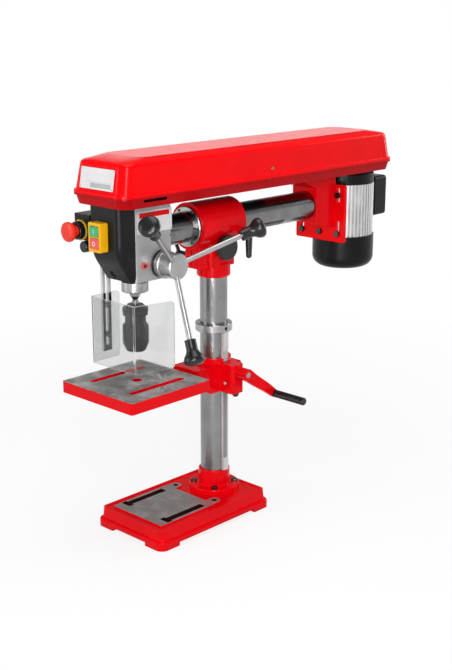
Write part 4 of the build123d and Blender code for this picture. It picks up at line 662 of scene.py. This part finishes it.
# Gap floors and downward flanks take black oxide: painted shade between the teeth.
def rack_shade_part(face):
    centre = face.calc_center_median()
    flank = face.normal.x > tooth_flank and face.normal.z < flank_down
    in_gap = rack_gap < rack_tip - centre.x < rack_deep and centre.z < table_face_z
    return 1 if in_gap and (flank or face.normal.x > tooth_floor) else 0


def hub_part(face):
    return 1 if face.normal.x > end_face else 0


dress("column", [column_steel], 0.6)
dress("rack", [zinc_plate, black_oxide], 0.0, rack_shade_part)
dress("ram", [ram_steel], 0.2)
dress("guard_rail", [zinc_plate], 0.3)
dress("feed_hub", [bright_chrome, turned_steel], 0.5, hub_part)
dress_all(turned_steel, rack_ring=0.6, guide_bush=0.4, quill=0.4, spindle=0.3, guard_screws=0.3,
          chuck_jaw_1=0.1, chuck_jaw_2=0.1, chuck_jaw_3=0.1)
dress_all(black_oxide, flange_bolts=0.3, motor_bolts=0.3)
dress_all(chuck_black, chuck_body=0.3, chuck_sleeve=0.4)

# %% [markdown]
# The guard is a bent clear sheet. Sawn and polished edges of such a sheet catch the light, and so does its
# bend, so its narrow faces get milkier materials than the wide panes: painted highlights, which on the sawn
# edges also stand for their frosting. Faces are told apart by their size and by the way they look.

# %% Guard
guard_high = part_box("guard_panel")[1]
narrow_face, near_end = 0.0006, 0.004
bend_way = Vector((1, -1, 0)).normalized()
sawn_edge, in_bend = 0.7, 0.997


def sheet_part(face):
    centre = face.calc_center_median()
    if abs(face.normal.z) > sawn_edge:
        return 1
    if face.calc_area() > narrow_face:
        return 0
    if face.normal.dot(bend_way) > in_bend:
        return 2
    return 1 if centre.x > guard_high.x - near_end or centre.y > guard_high.y - near_end else 0


dress("guard_panel", [clear_sheet, sheet_rim_frost_highlight, sheet_bend_highlight], 0.3, sheet_part)
print("guard dressed")

# %% [markdown]
# The motor's ribs are bright on their crests, and the grooves between them get a darker aluminium as
# painted shade. The depth pointer is a red plate on a black screw. The other painted and moulded parts have
# one material each.

# %% Painted and moulded parts
motor_axis_y, groove_radius = 0.446, 0.0684
pointer_thick = 3.2 * millimetre
pointer_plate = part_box("depth_pointer")[0].x + pointer_thick


# Faces deep between the ribs take the darker aluminium: painted shade in the grooves.
def motor_shade_part(face):
    centre = face.calc_center_median()
    return 1 if math.hypot(centre.x, centre.y - motor_axis_y) < groove_radius else 0


def pointer_part(face):
    return 1 if face.calc_center_median().x > pointer_plate else 0


dress("motor_body", [satin_aluminium, groove_shade_aluminium], 0.5, motor_shade_part)
dress("depth_pointer", [stop_plastic, black_oxide], 0.3, pointer_part)
dress_all(silver_enamel, spring_cap=0.6)
dress_all(black_plastic, control_box=1.5, terminal_box=0.8)
dress_all(black_enamel, motor_end_bell=0.8, fan_cover=0.8)
dress_all(gloss_black, ram_knob=0.8, feed_knobs=0.3, crank_grip=0.6, guard_knob=0.5, table_lock_lever=0.4,
          swivel_lock_lever=0.4, ram_lock_lever=0.4)
dress_all(black_rubber, quill_bumper=0.3)
dress_all(yellow_plastic, switch_box=1.0)
dress_all(collar_yellow, estop_collar=0.4)
dress_all(green_plastic, start_button=0.6)
dress_all(stop_plastic, stop_button=0.6)

# %% [markdown]
# Gears, shafts, pulleys and the belt stay inside the machine, where no camera goes unless the lid is open.
# They could be dressed like the rest, but they keep their plain solids and only take a material.

# %% Parts inside
inside = {"table_gear": turned_steel, "crank_shaft": turned_steel, "ram_pinion": turned_steel,
          "spindle_bearings": turned_steel, "return_spring": turned_steel, "spindle_pulley": satin_aluminium,
          "motor_pulley": satin_aluminium, "v_belt": black_rubber, "motor_rotor": motor_iron}
for node, material in inside.items():
    frame["nodes"][node].material_slots[0].material = material
print(len(inside), "inner solids coloured")

# %% [markdown]
# ## Small furniture
# Screws, knurls, marks and plates are too small for the solids, and they are what makes a machine look
# made. Round items start as a turned profile, so a lathe helper comes first. Each item is drawn at the
# origin, standing on Z, and a placing matrix then carries its mesh to its seat.


# %% Turned items
def lathe(profile, sides=24):
    """A skin turned about Z from radius and height points, in millimetres; points on the axis close it."""
    skin = bmesh.new()
    rings = []
    turn = 2 * math.pi / sides
    for radius, height in profile:
        if radius == 0:
            rings.append([skin.verts.new((0, 0, height * millimetre))])
            continue
        wide, high = radius * millimetre, height * millimetre
        rings.append([skin.verts.new((wide * math.cos(turn * step), wide * math.sin(turn * step), high))
                      for step in range(sides)])
    for lower, upper in zip(rings, rings[1:]):
        for step in range(sides):
            after = (step + 1) % sides
            corners = [lower[step % len(lower)], lower[after % len(lower)], upper[after % len(upper)],
                       upper[step % len(upper)]]
            skin.faces.new(list(dict.fromkeys(corners)))
    bmesh.ops.recalc_face_normals(skin, faces=skin.faces[:])
    return skin


def bar(wide, deep, tall):
    """A small bar about the origin, in millimetres, with its edges rolled."""
    skin = bmesh.new()
    bmesh.ops.create_cube(skin, size=1.0)
    bmesh.ops.scale(skin, vec=Vector((wide, deep, tall)) * millimetre, verts=skin.verts[:])
    roll(skin, skin.edges[:], 0.2 * min(wide, deep, tall) * millimetre, 1)
    return skin


print("lathe and bar ready")

# %% [markdown]
# An item needs a seat: a point, and the way that its Z has to look. Tracking that way gives the turn. To
# fasten an item is then to carry its mesh to the seat, to shade it, and to attach it to its body.


# %% Seats and screw profiles
def seat_at(point, outwards):
    """The matrix that stands an item on a point in millimetres, with its Z outwards."""
    turn = Vector(outwards).to_track_quat("Z", "Y").to_matrix().to_4x4()
    return Matrix.Translation(Vector(point) * millimetre) @ turn


def fasten(piece, place, body, slot):
    piece.data.transform(place)
    even_shading(piece)
    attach(piece, body)
    return piece


def screw_profile(radius, height, socket):
    """A cylinder-head screw with a round socket."""
    edge = 0.12 * radius
    floor = 0.3 * height
    return [(0, floor), (socket, floor), (socket, height), (radius - edge, height), (radius, height - edge),
            (radius, 0), (0, 0)]


def dome_profile(radius, height):
    steps = 5
    turns = [math.pi / 2 * step / steps for step in range(steps)]
    curve = [(radius * math.cos(turn), height * math.sin(turn)) for turn in turns]
    return [(0, 0)] + curve + [(0, height)]


right_way, front_way, back_way, up_way = (1, 0, 0), (0, -1, 0), (0, 1, 0), (0, 0, 1)
print("seats and screw profiles ready")

# %% [markdown]
# The chin of the front cover has a hole for a screw far inside. It is long on the slope, so that it looks
# round from the front, where the screwdriver goes in. A stretched cylinder cuts it, as a slanting drill
# would.

# %% Front cover
chin_mm, chin_way = (-8.0, -276.3, 575.0), (0, -0.827, -0.561)
chin_radius, chin_stretch, chin_in, chin_out = 6.2, 1.6, -8, 6
chin_profile = [(0, chin_in), (chin_radius, chin_in), (chin_radius, chin_out), (0, chin_out)]
chin_hole = new_piece("chin_hole", lathe(chin_profile, 24), [black_rubber])
chin_hole.data.transform(seat_at(chin_mm, chin_way) @ Matrix.Diagonal((1.0, chin_stretch, 1.0, 1.0)))
dress("front_cover", [black_plastic], 1.5, cutters=[chin_hole])
print("front cover pierced")

# %% [markdown]
# The three feed rods are bright drawn bar. Each is turned again here with closely spaced rings, so that
# long highlights run along it without breaking. Where a rod begins and ends is read from its solid: the
# points nearest to the hub and the points farthest from it are the rod's two round ends.


# %% Feed rods
def separate_solids(skin):
    """Yields the points of one solid after the other, in the order of the mesh."""
    seen = set()
    for first in skin.verts:
        if first in seen:
            continue
        seen.add(first)
        island, border = [], [first]
        while border:
            point = border.pop()
            island.append(point.co.copy())
            near = [edge.other_vert(point) for edge in point.link_edges]
            fresh = [other for other in near if other not in seen]
            seen.update(fresh)
            border.extend(fresh)
        yield island


def turn_rod(number, points):
    points.sort(key=lambda point: (point - hub_middle).length)
    half = len(points) // 2
    start, end = (sum(group, Vector()) / len(group) for group in (points[:half], points[half:]))
    way = (end - start).normalized()
    offsets = [point - start for point in points]
    radius = max((offset - way * offset.dot(way)).length for offset in offsets) / millimetre
    length = max(offset.dot(way) for offset in offsets) / millimetre
    sides = [(radius, length * step / rod_rings) for step in range(rod_rings + 1)]
    rod = new_piece("feed_rod_%d" % number, lathe([(0, 0)] + sides + [(0, length)], 32), [drawn_bar])
    fasten(rod, seat_at(start / millimetre, way), "feed", "bright_chrome")
    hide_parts("feed_rods")


rod_rings = 24
hub_low, hub_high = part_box("feed_hub")
hub_middle = Vector((hub_high.x, (hub_low.y + hub_high.y) / 2, (hub_low.z + hub_high.z) / 2))
rods = bmesh.new()
rods.from_mesh(frame["nodes"]["feed_rods"].data)
bmesh.ops.remove_doubles(rods, verts=rods.verts[:], dist=weld)
for number, points in enumerate(separate_solids(rods), 1):
    turn_rod(number, points)
rods.free()
print(number, "feed rods turned")

# %% [markdown]
# ## Items in rings and rows
# Knurls, graduations and bolt circles repeat one item round an axis; plate rivets and cover screws repeat
# it at the corners of a rectangle. Two Geometry Nodes trees do this: one instances the item on the points
# of a circle, turned so that its X looks outwards, the other on the points of a grid. Both realise their
# instances, because only plain mesh is exported.


# %% Ring and row trees
def item_tree(name, numbers, points_node, point_inputs, outward):
    tree = bpy.data.node_groups.new(name, "GeometryNodeTree")
    takes = [("Item", "NodeSocketGeometry"), *numbers, ("Finish", "NodeSocketMaterial")]
    for label, kind in takes:
        tree.interface.new_socket(name=label, in_out="INPUT", socket_type=kind)
    tree.interface.new_socket(name="Items", in_out="OUTPUT", socket_type="NodeSocketGeometry")
    given, result = tree.nodes.new("NodeGroupInput"), tree.nodes.new("NodeGroupOutput")
    points = tree.nodes.new(points_node)
    for label, target in point_inputs.items():
        tree.links.new(given.outputs[label], points.inputs[target])
    placed = tree.nodes.new("GeometryNodeInstanceOnPoints")
    tree.links.new(points.outputs["Mesh"], placed.inputs["Points"])
    tree.links.new(given.outputs["Item"], placed.inputs["Instance"])
    if outward:
        turn = add_node(tree, "FunctionNodeAlignRotationToVector", axis="X")
        tree.links.new(tree.nodes.new("GeometryNodeInputPosition").outputs["Position"], turn.inputs["Vector"])
        tree.links.new(turn.outputs["Rotation"], placed.inputs["Rotation"])
    solid = tree.nodes.new("GeometryNodeRealizeInstances")
    tree.links.new(placed.outputs["Instances"], solid.inputs["Geometry"])
    finish = tree.nodes.new("GeometryNodeSetMaterial")
    tree.links.new(solid.outputs["Geometry"], finish.inputs["Geometry"])
    tree.links.new(given.outputs["Finish"], finish.inputs["Material"])
    tree.links.new(finish.outputs["Geometry"], result.inputs["Items"])
    return tree


print("item tree recipe ready")

# %% [markdown]
# The two trees differ in what they put the items on. A modifier's inputs are set by the identifiers of
# their sockets, and the result is settled into plain mesh before the piece is attached to its body.


# %% The two trees
whole_socket = "NodeSocketInt"
ring_tree = item_tree("ring_of_items", [("Count", whole_socket), ("Radius", number_socket)],
                      "GeometryNodeMeshCircle", {"Count": "Vertices", "Radius": "Radius"}, True)
grid_numbers = [("Wide", number_socket), ("Deep", number_socket), ("Columns", whole_socket),
                ("Rows", whole_socket)]
grid_inputs = {"Wide": "Size X", "Deep": "Size Y", "Columns": "Vertices X", "Rows": "Vertices Y"}
corner_tree = item_tree("corner_items", grid_numbers, "GeometryNodeMeshGrid", grid_inputs, False)


def repeat_item(name, item, tree, values, material, place, body, slot):
    piece = new_piece(name, item, [material])
    spreader = piece.modifiers.new("repeat", "NODES")
    spreader.node_group = tree
    takes = [socket for socket in tree.interface.items_tree if socket.in_out == "INPUT"]
    sockets = {socket.name: socket.identifier for socket in takes}
    for label, value in values.items():
        spreader[sockets[label]] = value
    spreader[sockets["Finish"]] = material
    settle(piece)
    return fasten(piece, place, body, slot)


def ring_of(name, item, count, radius_mm, *rest):
    return repeat_item(name, item, ring_tree, {"Count": count, "Radius": radius_mm * millimetre}, *rest)


def corners_of(name, item, wide_mm, deep_mm, *rest):
    values = {"Wide": wide_mm * millimetre, "Deep": deep_mm * millimetre, "Columns": 2, "Rows": 2}
    return repeat_item(name, item, corner_tree, values, *rest)


print("item trees:", ring_tree.name, corner_tree.name)

# %% [markdown]
# ## Knurls, graduations and bolt circles
# The depth ring turns in the fingers, so half of its width is knurled and the other half is graduated, with
# twelve long marks among sixty. The marks could be a texture; as thin bars they stay sharp from close by.

# %% Depth ring
dress("depth_ring", [bright_chrome], 0.3)
ring_low, ring_high = box_mm("depth_ring")
ring_axis = [(ring_low[axis] + ring_high[axis]) / 2 for axis in (1, 2)]
ring_radius = (ring_high.y - ring_low.y) / 2
band_wide, band_in, band_out = 7.4, ring_radius - 1.0, ring_radius + 0.15
short_mark, long_mark = (0.12, 0.45, 3.4), (0.14, 0.6, 5.8)
short_inset, long_inset = 3.4, 4.6


def along_ring(x):
    return seat_at((x, *ring_axis), right_way)


band = [(band_in, 0), (band_out, 0), (band_out, band_wide), (band_in, band_wide), (band_in, 0)]
ring_rest = ("depth_stop", "black_oxide")
fasten(new_piece("depth_band", lathe(band, 72), [black_oxide]), along_ring(ring_low.x), *ring_rest)
ring_of("depth_knurl", bar(0.7, 1.0, 6.0), 72, ring_radius, black_oxide,
        along_ring(ring_low.x + band_wide / 2), *ring_rest)
ring_of("depth_marks", bar(*short_mark), 60, ring_radius, gloss_black,
        along_ring(ring_high.x - short_inset), *ring_rest)
ring_of("depth_long_marks", bar(*long_mark), 12, ring_radius, gloss_black,
        along_ring(ring_high.x - long_inset), *ring_rest)
print("depth ring graduated")

# %% [markdown]
# The chuck's sleeve and its body have grip ribs, and so has the guard's thumb knob. Each rib is a small bar
# with rolled edges, sunk into the round piece so that only its back shows.

# %% Grip ribs
sleeve_low, sleeve_high = box_mm("chuck_sleeve")
spindle_mm = (0.0, (sleeve_low.y + sleeve_high.y) / 2)
sleeve_radius = (sleeve_high.x - sleeve_low.x) / 2
nose_tall, belly_half = 17.0, 20.0
belly_seat = seat_at((*spindle_mm, sleeve_low.z + nose_tall + belly_half), up_way)
ring_of("chuck_ribs", bar(0.9, 3.0, 30.0), 18, sleeve_radius - 0.1, chuck_black, belly_seat, "chuck_sleeve",
        "black_oxide")
flange_radius, flange_drop = 24.9, 11.0
flange_seat = seat_at((*spindle_mm, box_mm("chuck_body")[1].z - flange_drop), up_way)
ring_of("chuck_knurl", bar(0.5, 1.6, 7.0), 44, flange_radius, chuck_black, flange_seat, "spindle",
        "black_oxide")

knob_low, knob_high = box_mm("guard_knob")
knob_radius = (knob_high.x - knob_low.x) / 2
knob_mm = ((knob_low.x + knob_high.x) / 2, knob_low.y + 5.5, (knob_low.z + knob_high.z) / 2)
ring_of("guard_knob_ribs", bar(0.8, 1.7, 7.0), 24, knob_radius - 0.5, gloss_black,
        seat_at(knob_mm, front_way), "guard_clamp", "black_plastic")

print("grip ribs placed")

# %% [markdown]
# The guide ring of the ram is held by socket screws, the fan cover by four domed ones on its rim and the
# terminal box by one in each corner. A domed one is laid down first, because the ring tree turns its X
# outwards.

# %% Rings and rows of screws
bush_low, bush_high = box_mm("guide_bush")
guide_circle = 37.4
bush_mm = (0.0, bush_low.y, (bush_low.z + bush_high.z) / 2)
ring_of("guide_screws", lathe(screw_profile(2.6, 2.2, 1.3), 16), 6, guide_circle, black_oxide,
        seat_at(bush_mm, front_way), "guide", "black_oxide")

fan_low, fan_high = box_mm("fan_cover")
fan_mm = (0.0, (fan_low.y + fan_high.y) / 2, fan_high.z - 7.0)
rim_screw = lathe(dome_profile(3.2, 1.6), 14)
lie_down = Matrix.Rotation(math.pi / 2, 3, "Y")
bmesh.ops.rotate(rim_screw, cent=(0, 0, 0), matrix=lie_down, verts=rim_screw.verts[:])
fan_seat = seat_at(fan_mm, up_way) @ Matrix.Rotation(math.pi / 4, 4, "Z")
ring_of("fan_cover_screws", rim_screw, 4, (fan_high.x - fan_low.x) / 2 - 1.6, turned_steel, fan_seat, "ram",
        "plain_steel")

box_low, box_high = box_mm("terminal_box")
lid_mm = (0.0, box_high.y - 0.2, (box_low.z + box_high.z) / 2)
corners_of("terminal_screws", lathe(screw_profile(3.0, 0.2, 1.5), 16), 62.0, 76.0, turned_steel,
           seat_at(lid_mm, back_way), "ram", "plain_steel")
print("rings and rows of screws placed")

# %% [markdown]
# ## Plates
# The lid and the head each carry a blank plate of pale sheet, riveted at its corners. Plain bands stand
# where such plates are divided. The lid's front leans back, so its plate leans with it.


# %% Blank plates
def rounded_outline(wide, tall, radius):
    for side_x, side_y in ((1, 1), (-1, 1), (-1, -1), (1, -1)):
        first = math.atan2(side_y, side_x) - math.pi / 4
        for step in range(5):
            turn = first + math.pi / 2 * step / 4
            yield (side_x * (wide / 2 - radius) + radius * math.cos(turn),
                   side_y * (tall / 2 - radius) + radius * math.sin(turn))


def blank_plate(name, wide, tall, place, body):
    skin = bmesh.new()
    outline = rounded_outline(wide, tall, plate_corner)
    face = skin.faces.new([skin.verts.new((x * millimetre, y * millimetre, 0)) for x, y in outline])
    raised = bmesh.ops.extrude_face_region(skin, geom=[face])
    lifted = [item for item in raised["geom"] if isinstance(item, bmesh.types.BMVert)]
    bmesh.ops.translate(skin, vec=(0, 0, plate_thick * millimetre), verts=lifted)
    bmesh.ops.recalc_face_normals(skin, faces=skin.faces[:])
    plate = fasten(new_piece(name, skin, [plate_white]), place, body, "silver_paint")
    rivet_place = place @ Matrix.Translation((0, 0, plate_thick * millimetre))
    rivet = lathe(dome_profile(1.3, 0.6), 12)
    corners_of(name + "_rivets", rivet, wide - rivet_inset, tall - rivet_inset, turned_steel, rivet_place,
               body, "plain_steel")
    return plate


def plain_field(name, wide, tall, across, up, material, place, body, slot):
    lift = Matrix.Translation(Vector((across, up, plate_thick)) * millimetre)
    return fasten(new_piece(name, bar(wide, tall, 0.1), [material]), place @ lift, body, slot)


plate_thick, plate_corner, rivet_inset = 0.5, 2.0, 7.0
lean_back, lean_rise = 10.0, 58.0
lid_front_y, lid_foot_z, lid_plate_z = -320.5, 745.0, 769.5
lid_plate_y = lid_front_y + lean_back * (lid_plate_z - lid_foot_z) / lean_rise
upright = Matrix.Rotation(math.pi / 2, 4, "X")
lid_seat = Matrix.Translation(Vector((-1.0, lid_plate_y, lid_plate_z)) * millimetre)
lid_place = lid_seat @ Matrix.Rotation(-math.atan2(lean_back, lean_rise), 4, "X") @ upright
blank_plate("lid_plate", 98.0, 41.0, lid_place, "lid")
head_seat = Matrix.Translation(Vector((46.0, -212.75, 681.0)) * millimetre)
head_place = head_seat @ Matrix.Rotation(math.pi / 2, 4, "Z") @ upright
blank_plate("head_plate", 94.0, 44.0, head_place, "ram")
plain_field("lid_plate_foot", 60.0, 9.0, 12.0, -12.5, silver_enamel, lid_place, "lid", "silver_paint")
plain_field("lid_plate_line", 74.0, 0.6, 5.0, -6.0, silver_enamel, lid_place, "lid", "silver_paint")
plain_field("head_plate_band", 80.0, 10.0, 0.0, 14.0, cast_red, head_place, "ram", "red_paint")
print("plates riveted")

# %% [markdown]
# ## Switches and single screws
# The emergency stop is a mushroom on a black bezel, turned from one profile of radius and depth. The start
# and stop buttons have the plain bar and ring that switches carry.

# %% Emergency stop and switch marks
stop_low, stop_high = box_mm("estop_button")
stop_x, stop_z = (stop_low.x + stop_high.x) / 2, (stop_low.z + stop_high.z) / 2
stop_deep = stop_high.y - stop_low.y
mushroom = [(0, 0), (12, 0.25), (17.2, 0.9), (19.4, 2.2), (20, 4.4), (19.8, 8.0), (18.6, 10.6), (15.6, 12.4),
            (14.2, 14.0), (14.0, 17.0), (11.0, 17.2), (11.0, 36.5), (5.0, 36.5), (5.0, stop_deep),
            (0, stop_deep)]
stop_skin = lathe([(radius, -depth) for radius, depth in mushroom], 48)
button = new_piece("estop_mushroom", stop_skin, [red_plastic])
fasten(button, seat_at((stop_x, stop_low.y, stop_z), front_way), "estop", "red_plastic")
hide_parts("estop_button")
bezel = [(12.2, 0), (12.2, 10.5), (13.2, 11.8), (16.6, 11.8), (17.8, 10.6), (18.6, 3.0), (18.6, 0), (12.2, 0)]
bezel_seat = seat_at((stop_x, box_mm("estop_collar")[0].y, stop_z), front_way)
fasten(new_piece("estop_bezel", lathe(bezel, 40), [gloss_black]), bezel_seat, "ram", "black_plastic")


def button_mark(name, node, skin, body):
    low, high = box_mm(node)
    face = ((low.x + high.x) / 2, low.y, (low.z + high.z) / 2)
    return fasten(new_piece(name, skin, [mark_white]), seat_at(face, front_way), body, "silver_paint")


button_mark("start_mark", "start_button", bar(1.5, 8.5, 0.16), "start")
ring_mark = [(2.9, 0), (2.9, 0.08), (4.3, 0.08), (4.3, 0), (2.9, 0)]
button_mark("stop_mark", "stop_button", lathe(ring_mark, 28), "stop")
print("emergency stop turned, switch marked")

# %% [markdown]
# Three single fasteners are left: the lid's bronze screw in its right wall, the bright end of the gear's
# pin on the gearbox, and the sunk set screw of the rack's ring.

# %% Single screws
lid_screw_mm, lid_screw_way = (78.9, 99.7, 756.8), (58, 0, 5)
lid_screw = new_piece("lid_screw", lathe(dome_profile(4.0, 1.8), 20), [bronze_screw])
fasten(lid_screw, seat_at(lid_screw_mm, lid_screw_way), "lid", "plain_steel")
pin_low, pin_high = box_mm("table_gear")
pin_mm = ((pin_low.x + pin_high.x) / 2, pin_low.y, (pin_low.z + pin_high.z) / 2)
pin_end = new_piece("gear_pin_end", lathe(dome_profile(3.8, 0.7), 20), [zinc_plate])
fasten(pin_end, seat_at(pin_mm, front_way), "gear", "plain_steel")
set_radius, set_height, set_turn = 40.0, 418.0, math.radians(-4)
set_way = Vector((math.cos(set_turn), math.sin(set_turn), 0))
set_profile = [(0, -3), (1.8, -3), (1.8, -0.4), (3.9, -0.4), (3.9, -6), (0, -6)]
set_screw = new_piece("ring_set_screw", lathe(set_profile, 18), [black_oxide])
set_mm = set_way * set_radius + Vector((0, 0, set_height))
fasten(set_screw, seat_at(set_mm, set_way), "rack_body", "black_oxide")
print("single screws set")

# %% [markdown]
# ## Studio
# A white floor in a white room with a dim ceiling. The walls are white up to a little above the horizon, so
# polished steel shows a bright foot and a dark crown, as it does in a photographer's tent. The floor and
# the walls are bright where the camera, a mirror or a clear pane looks at them, and light the machine no
# more than a plain room does. The floor keeps the machine's soft shadow.

# %% Floor
floor_near, floor_far, floor_light = 0.8, 1.0, 0.1
white_from, white_at = 0.7, 1.8
floor_white, floor_grey = 0.9, 0.4


def seen_directly(tree):
    """One for rays of the camera, of mirrors and of clear panes; none for light that surfaces pass on."""
    ways = tree.nodes.new("ShaderNodeLightPath").outputs
    seen = maths(tree, "MAXIMUM", ways["Is Camera Ray"], ways["Is Glossy Ray"])
    return maths(tree, "MAXIMUM", seen, ways["Is Transmission Ray"])


def studio_floor():
    skin = bmesh.new()
    bmesh.ops.create_grid(skin, x_segments=2, y_segments=2, size=40)
    material = bpy.data.materials.new("studio_floor")
    material.use_nodes = True
    tree = material.node_tree
    shader = tree.nodes["Principled BSDF"]
    seen = seen_directly(tree)
    grey = tree.nodes.new("ShaderNodeCombineColor")
    for channel in ("Red", "Green", "Blue"):
        tree.links.new(spread(tree, seen, floor_grey, floor_white, 0.0, 1.0), grey.inputs[channel])
    tree.links.new(grey.outputs["Color"], shader.inputs["Base Color"])
    shader.inputs["Roughness"].default_value = 0.9
    shader.inputs["Specular IOR Level"].default_value = 0.0
    glow = add_node(tree, "ShaderNodeEmission", {"Color": (1, 1, 1, 1), "Strength": 1.0})
    share = tree.nodes.new("ShaderNodeMixShader")
    away = length_of(tree, object_place(tree))
    seen_share = spread(tree, away, floor_near, floor_far, white_from, white_at)
    tree.links.new(spread(tree, seen, floor_light, seen_share, 0.0, 1.0), share.inputs["Fac"])
    tree.links.new(shader.outputs["BSDF"], share.inputs[1])
    tree.links.new(glow.outputs["Emission"], share.inputs[2])
    tree.links.new(share.outputs["Shader"], tree.nodes["Material Output"].inputs["Surface"])
    floor = new_piece("floor", skin, [material])


studio_floor()
print("floor laid")

# %% [markdown]
# The room is a background that changes with height only: white walls, then a soft step to the dim ceiling.
# An image of a real studio would do as well, but its windows would show in every polished piece.

# %% Room
wall_top, ceiling_start = 0.16, 0.34
ceiling_tone, room_light = 0.25, 0.36


def studio_world():
    world = bpy.data.worlds.new("studio")
    bpy.context.scene.world = world
    world.use_nodes = True
    tree = world.node_tree
    tree.nodes.clear()
    parts = tree.nodes.new("ShaderNodeSeparateXYZ")
    tree.links.new(tree.nodes.new("ShaderNodeTexCoord").outputs["Generated"], parts.inputs["Vector"])
    seen_room = spread(tree, parts.outputs["Z"], 1.0, ceiling_tone, wall_top, ceiling_start)
    room = add_node(tree, "ShaderNodeBackground", {"Color": (1, 1, 1, 1)})
    strength = spread(tree, seen_directly(tree), room_light, seen_room, 0.0, 1.0)
    tree.links.new(strength, room.inputs["Strength"])
    result = tree.nodes.new("ShaderNodeOutputWorld")
    tree.links.new(room.outputs["Background"], result.inputs["Surface"])


studio_world()
print("room lit")

# %% [markdown]
# A tall lamp near the camera and a weaker one on the left light the front, a wide one hangs above and one
# stands behind. A narrow strip that only shows in polished metal draws the upright highlight on the column.


# %% Lamps
def soft_lamp(name, place, aim, size, power):
    lamp = bpy.data.lights.new(name, "AREA")
    lamp.shape = "RECTANGLE"
    lamp.size, lamp.size_y = size
    lamp.energy = power
    stand = bpy.data.objects.new(name, lamp)
    stand.location = place
    stand.rotation_euler = (Vector(aim) - Vector(place)).to_track_quat("-Z", "Y").to_euler()
    bpy.context.scene.collection.objects.link(stand)
    return stand


middle, column_low = (0.0, 0.05, 0.45), (0.0, 0.0, 0.3)
soft_lamp("key_lamp", (2.0, -1.85, 1.25), middle, (0.4, 2.0), 54)
soft_lamp("left_lamp", (-1.3, -2.2, 1.0), middle, (0.5, 1.8), 14)
soft_lamp("top_lamp", (0.2, -0.1, 2.6), middle, (1.4, 1.8), 24)
soft_lamp("back_lamp", (0.8, 2.7, 1.5), middle, (1.0, 1.4), 20)
strip = soft_lamp("strip_lamp", (1.35, -2.1, 0.45), column_low, (0.12, 0.9), 20)
strip.visible_diffuse = False
print("lamps set")

# %% [markdown]
# ## Camera
# The photograph was taken from the front right, a little above the machine, with a fairly long lens. The
# place and the lens were found by fitting the column, the base and the lid's edges to the picture.

# %% Camera
camera_place = Vector((1.7292, -1.7625, 1.0877))
camera_aim = Vector((0.0194, 0.0186, 0.3957))
lens_mm, sensor_mm = 63.04, 36.0
camera = bpy.data.cameras.new("camera")
camera.lens = lens_mm
camera.sensor_width = sensor_mm
tripod = bpy.data.objects.new("camera", camera)
tripod.location = camera_place
tripod.rotation_euler = (camera_aim - camera_place).to_track_quat("-Z", "Y").to_euler()
bpy.context.scene.collection.objects.link(tripod)
bpy.context.scene.camera = tripod
bpy.context.scene.view_settings.view_transform = "Standard"
print("camera at", tuple(round(value, 3) for value in camera_place))
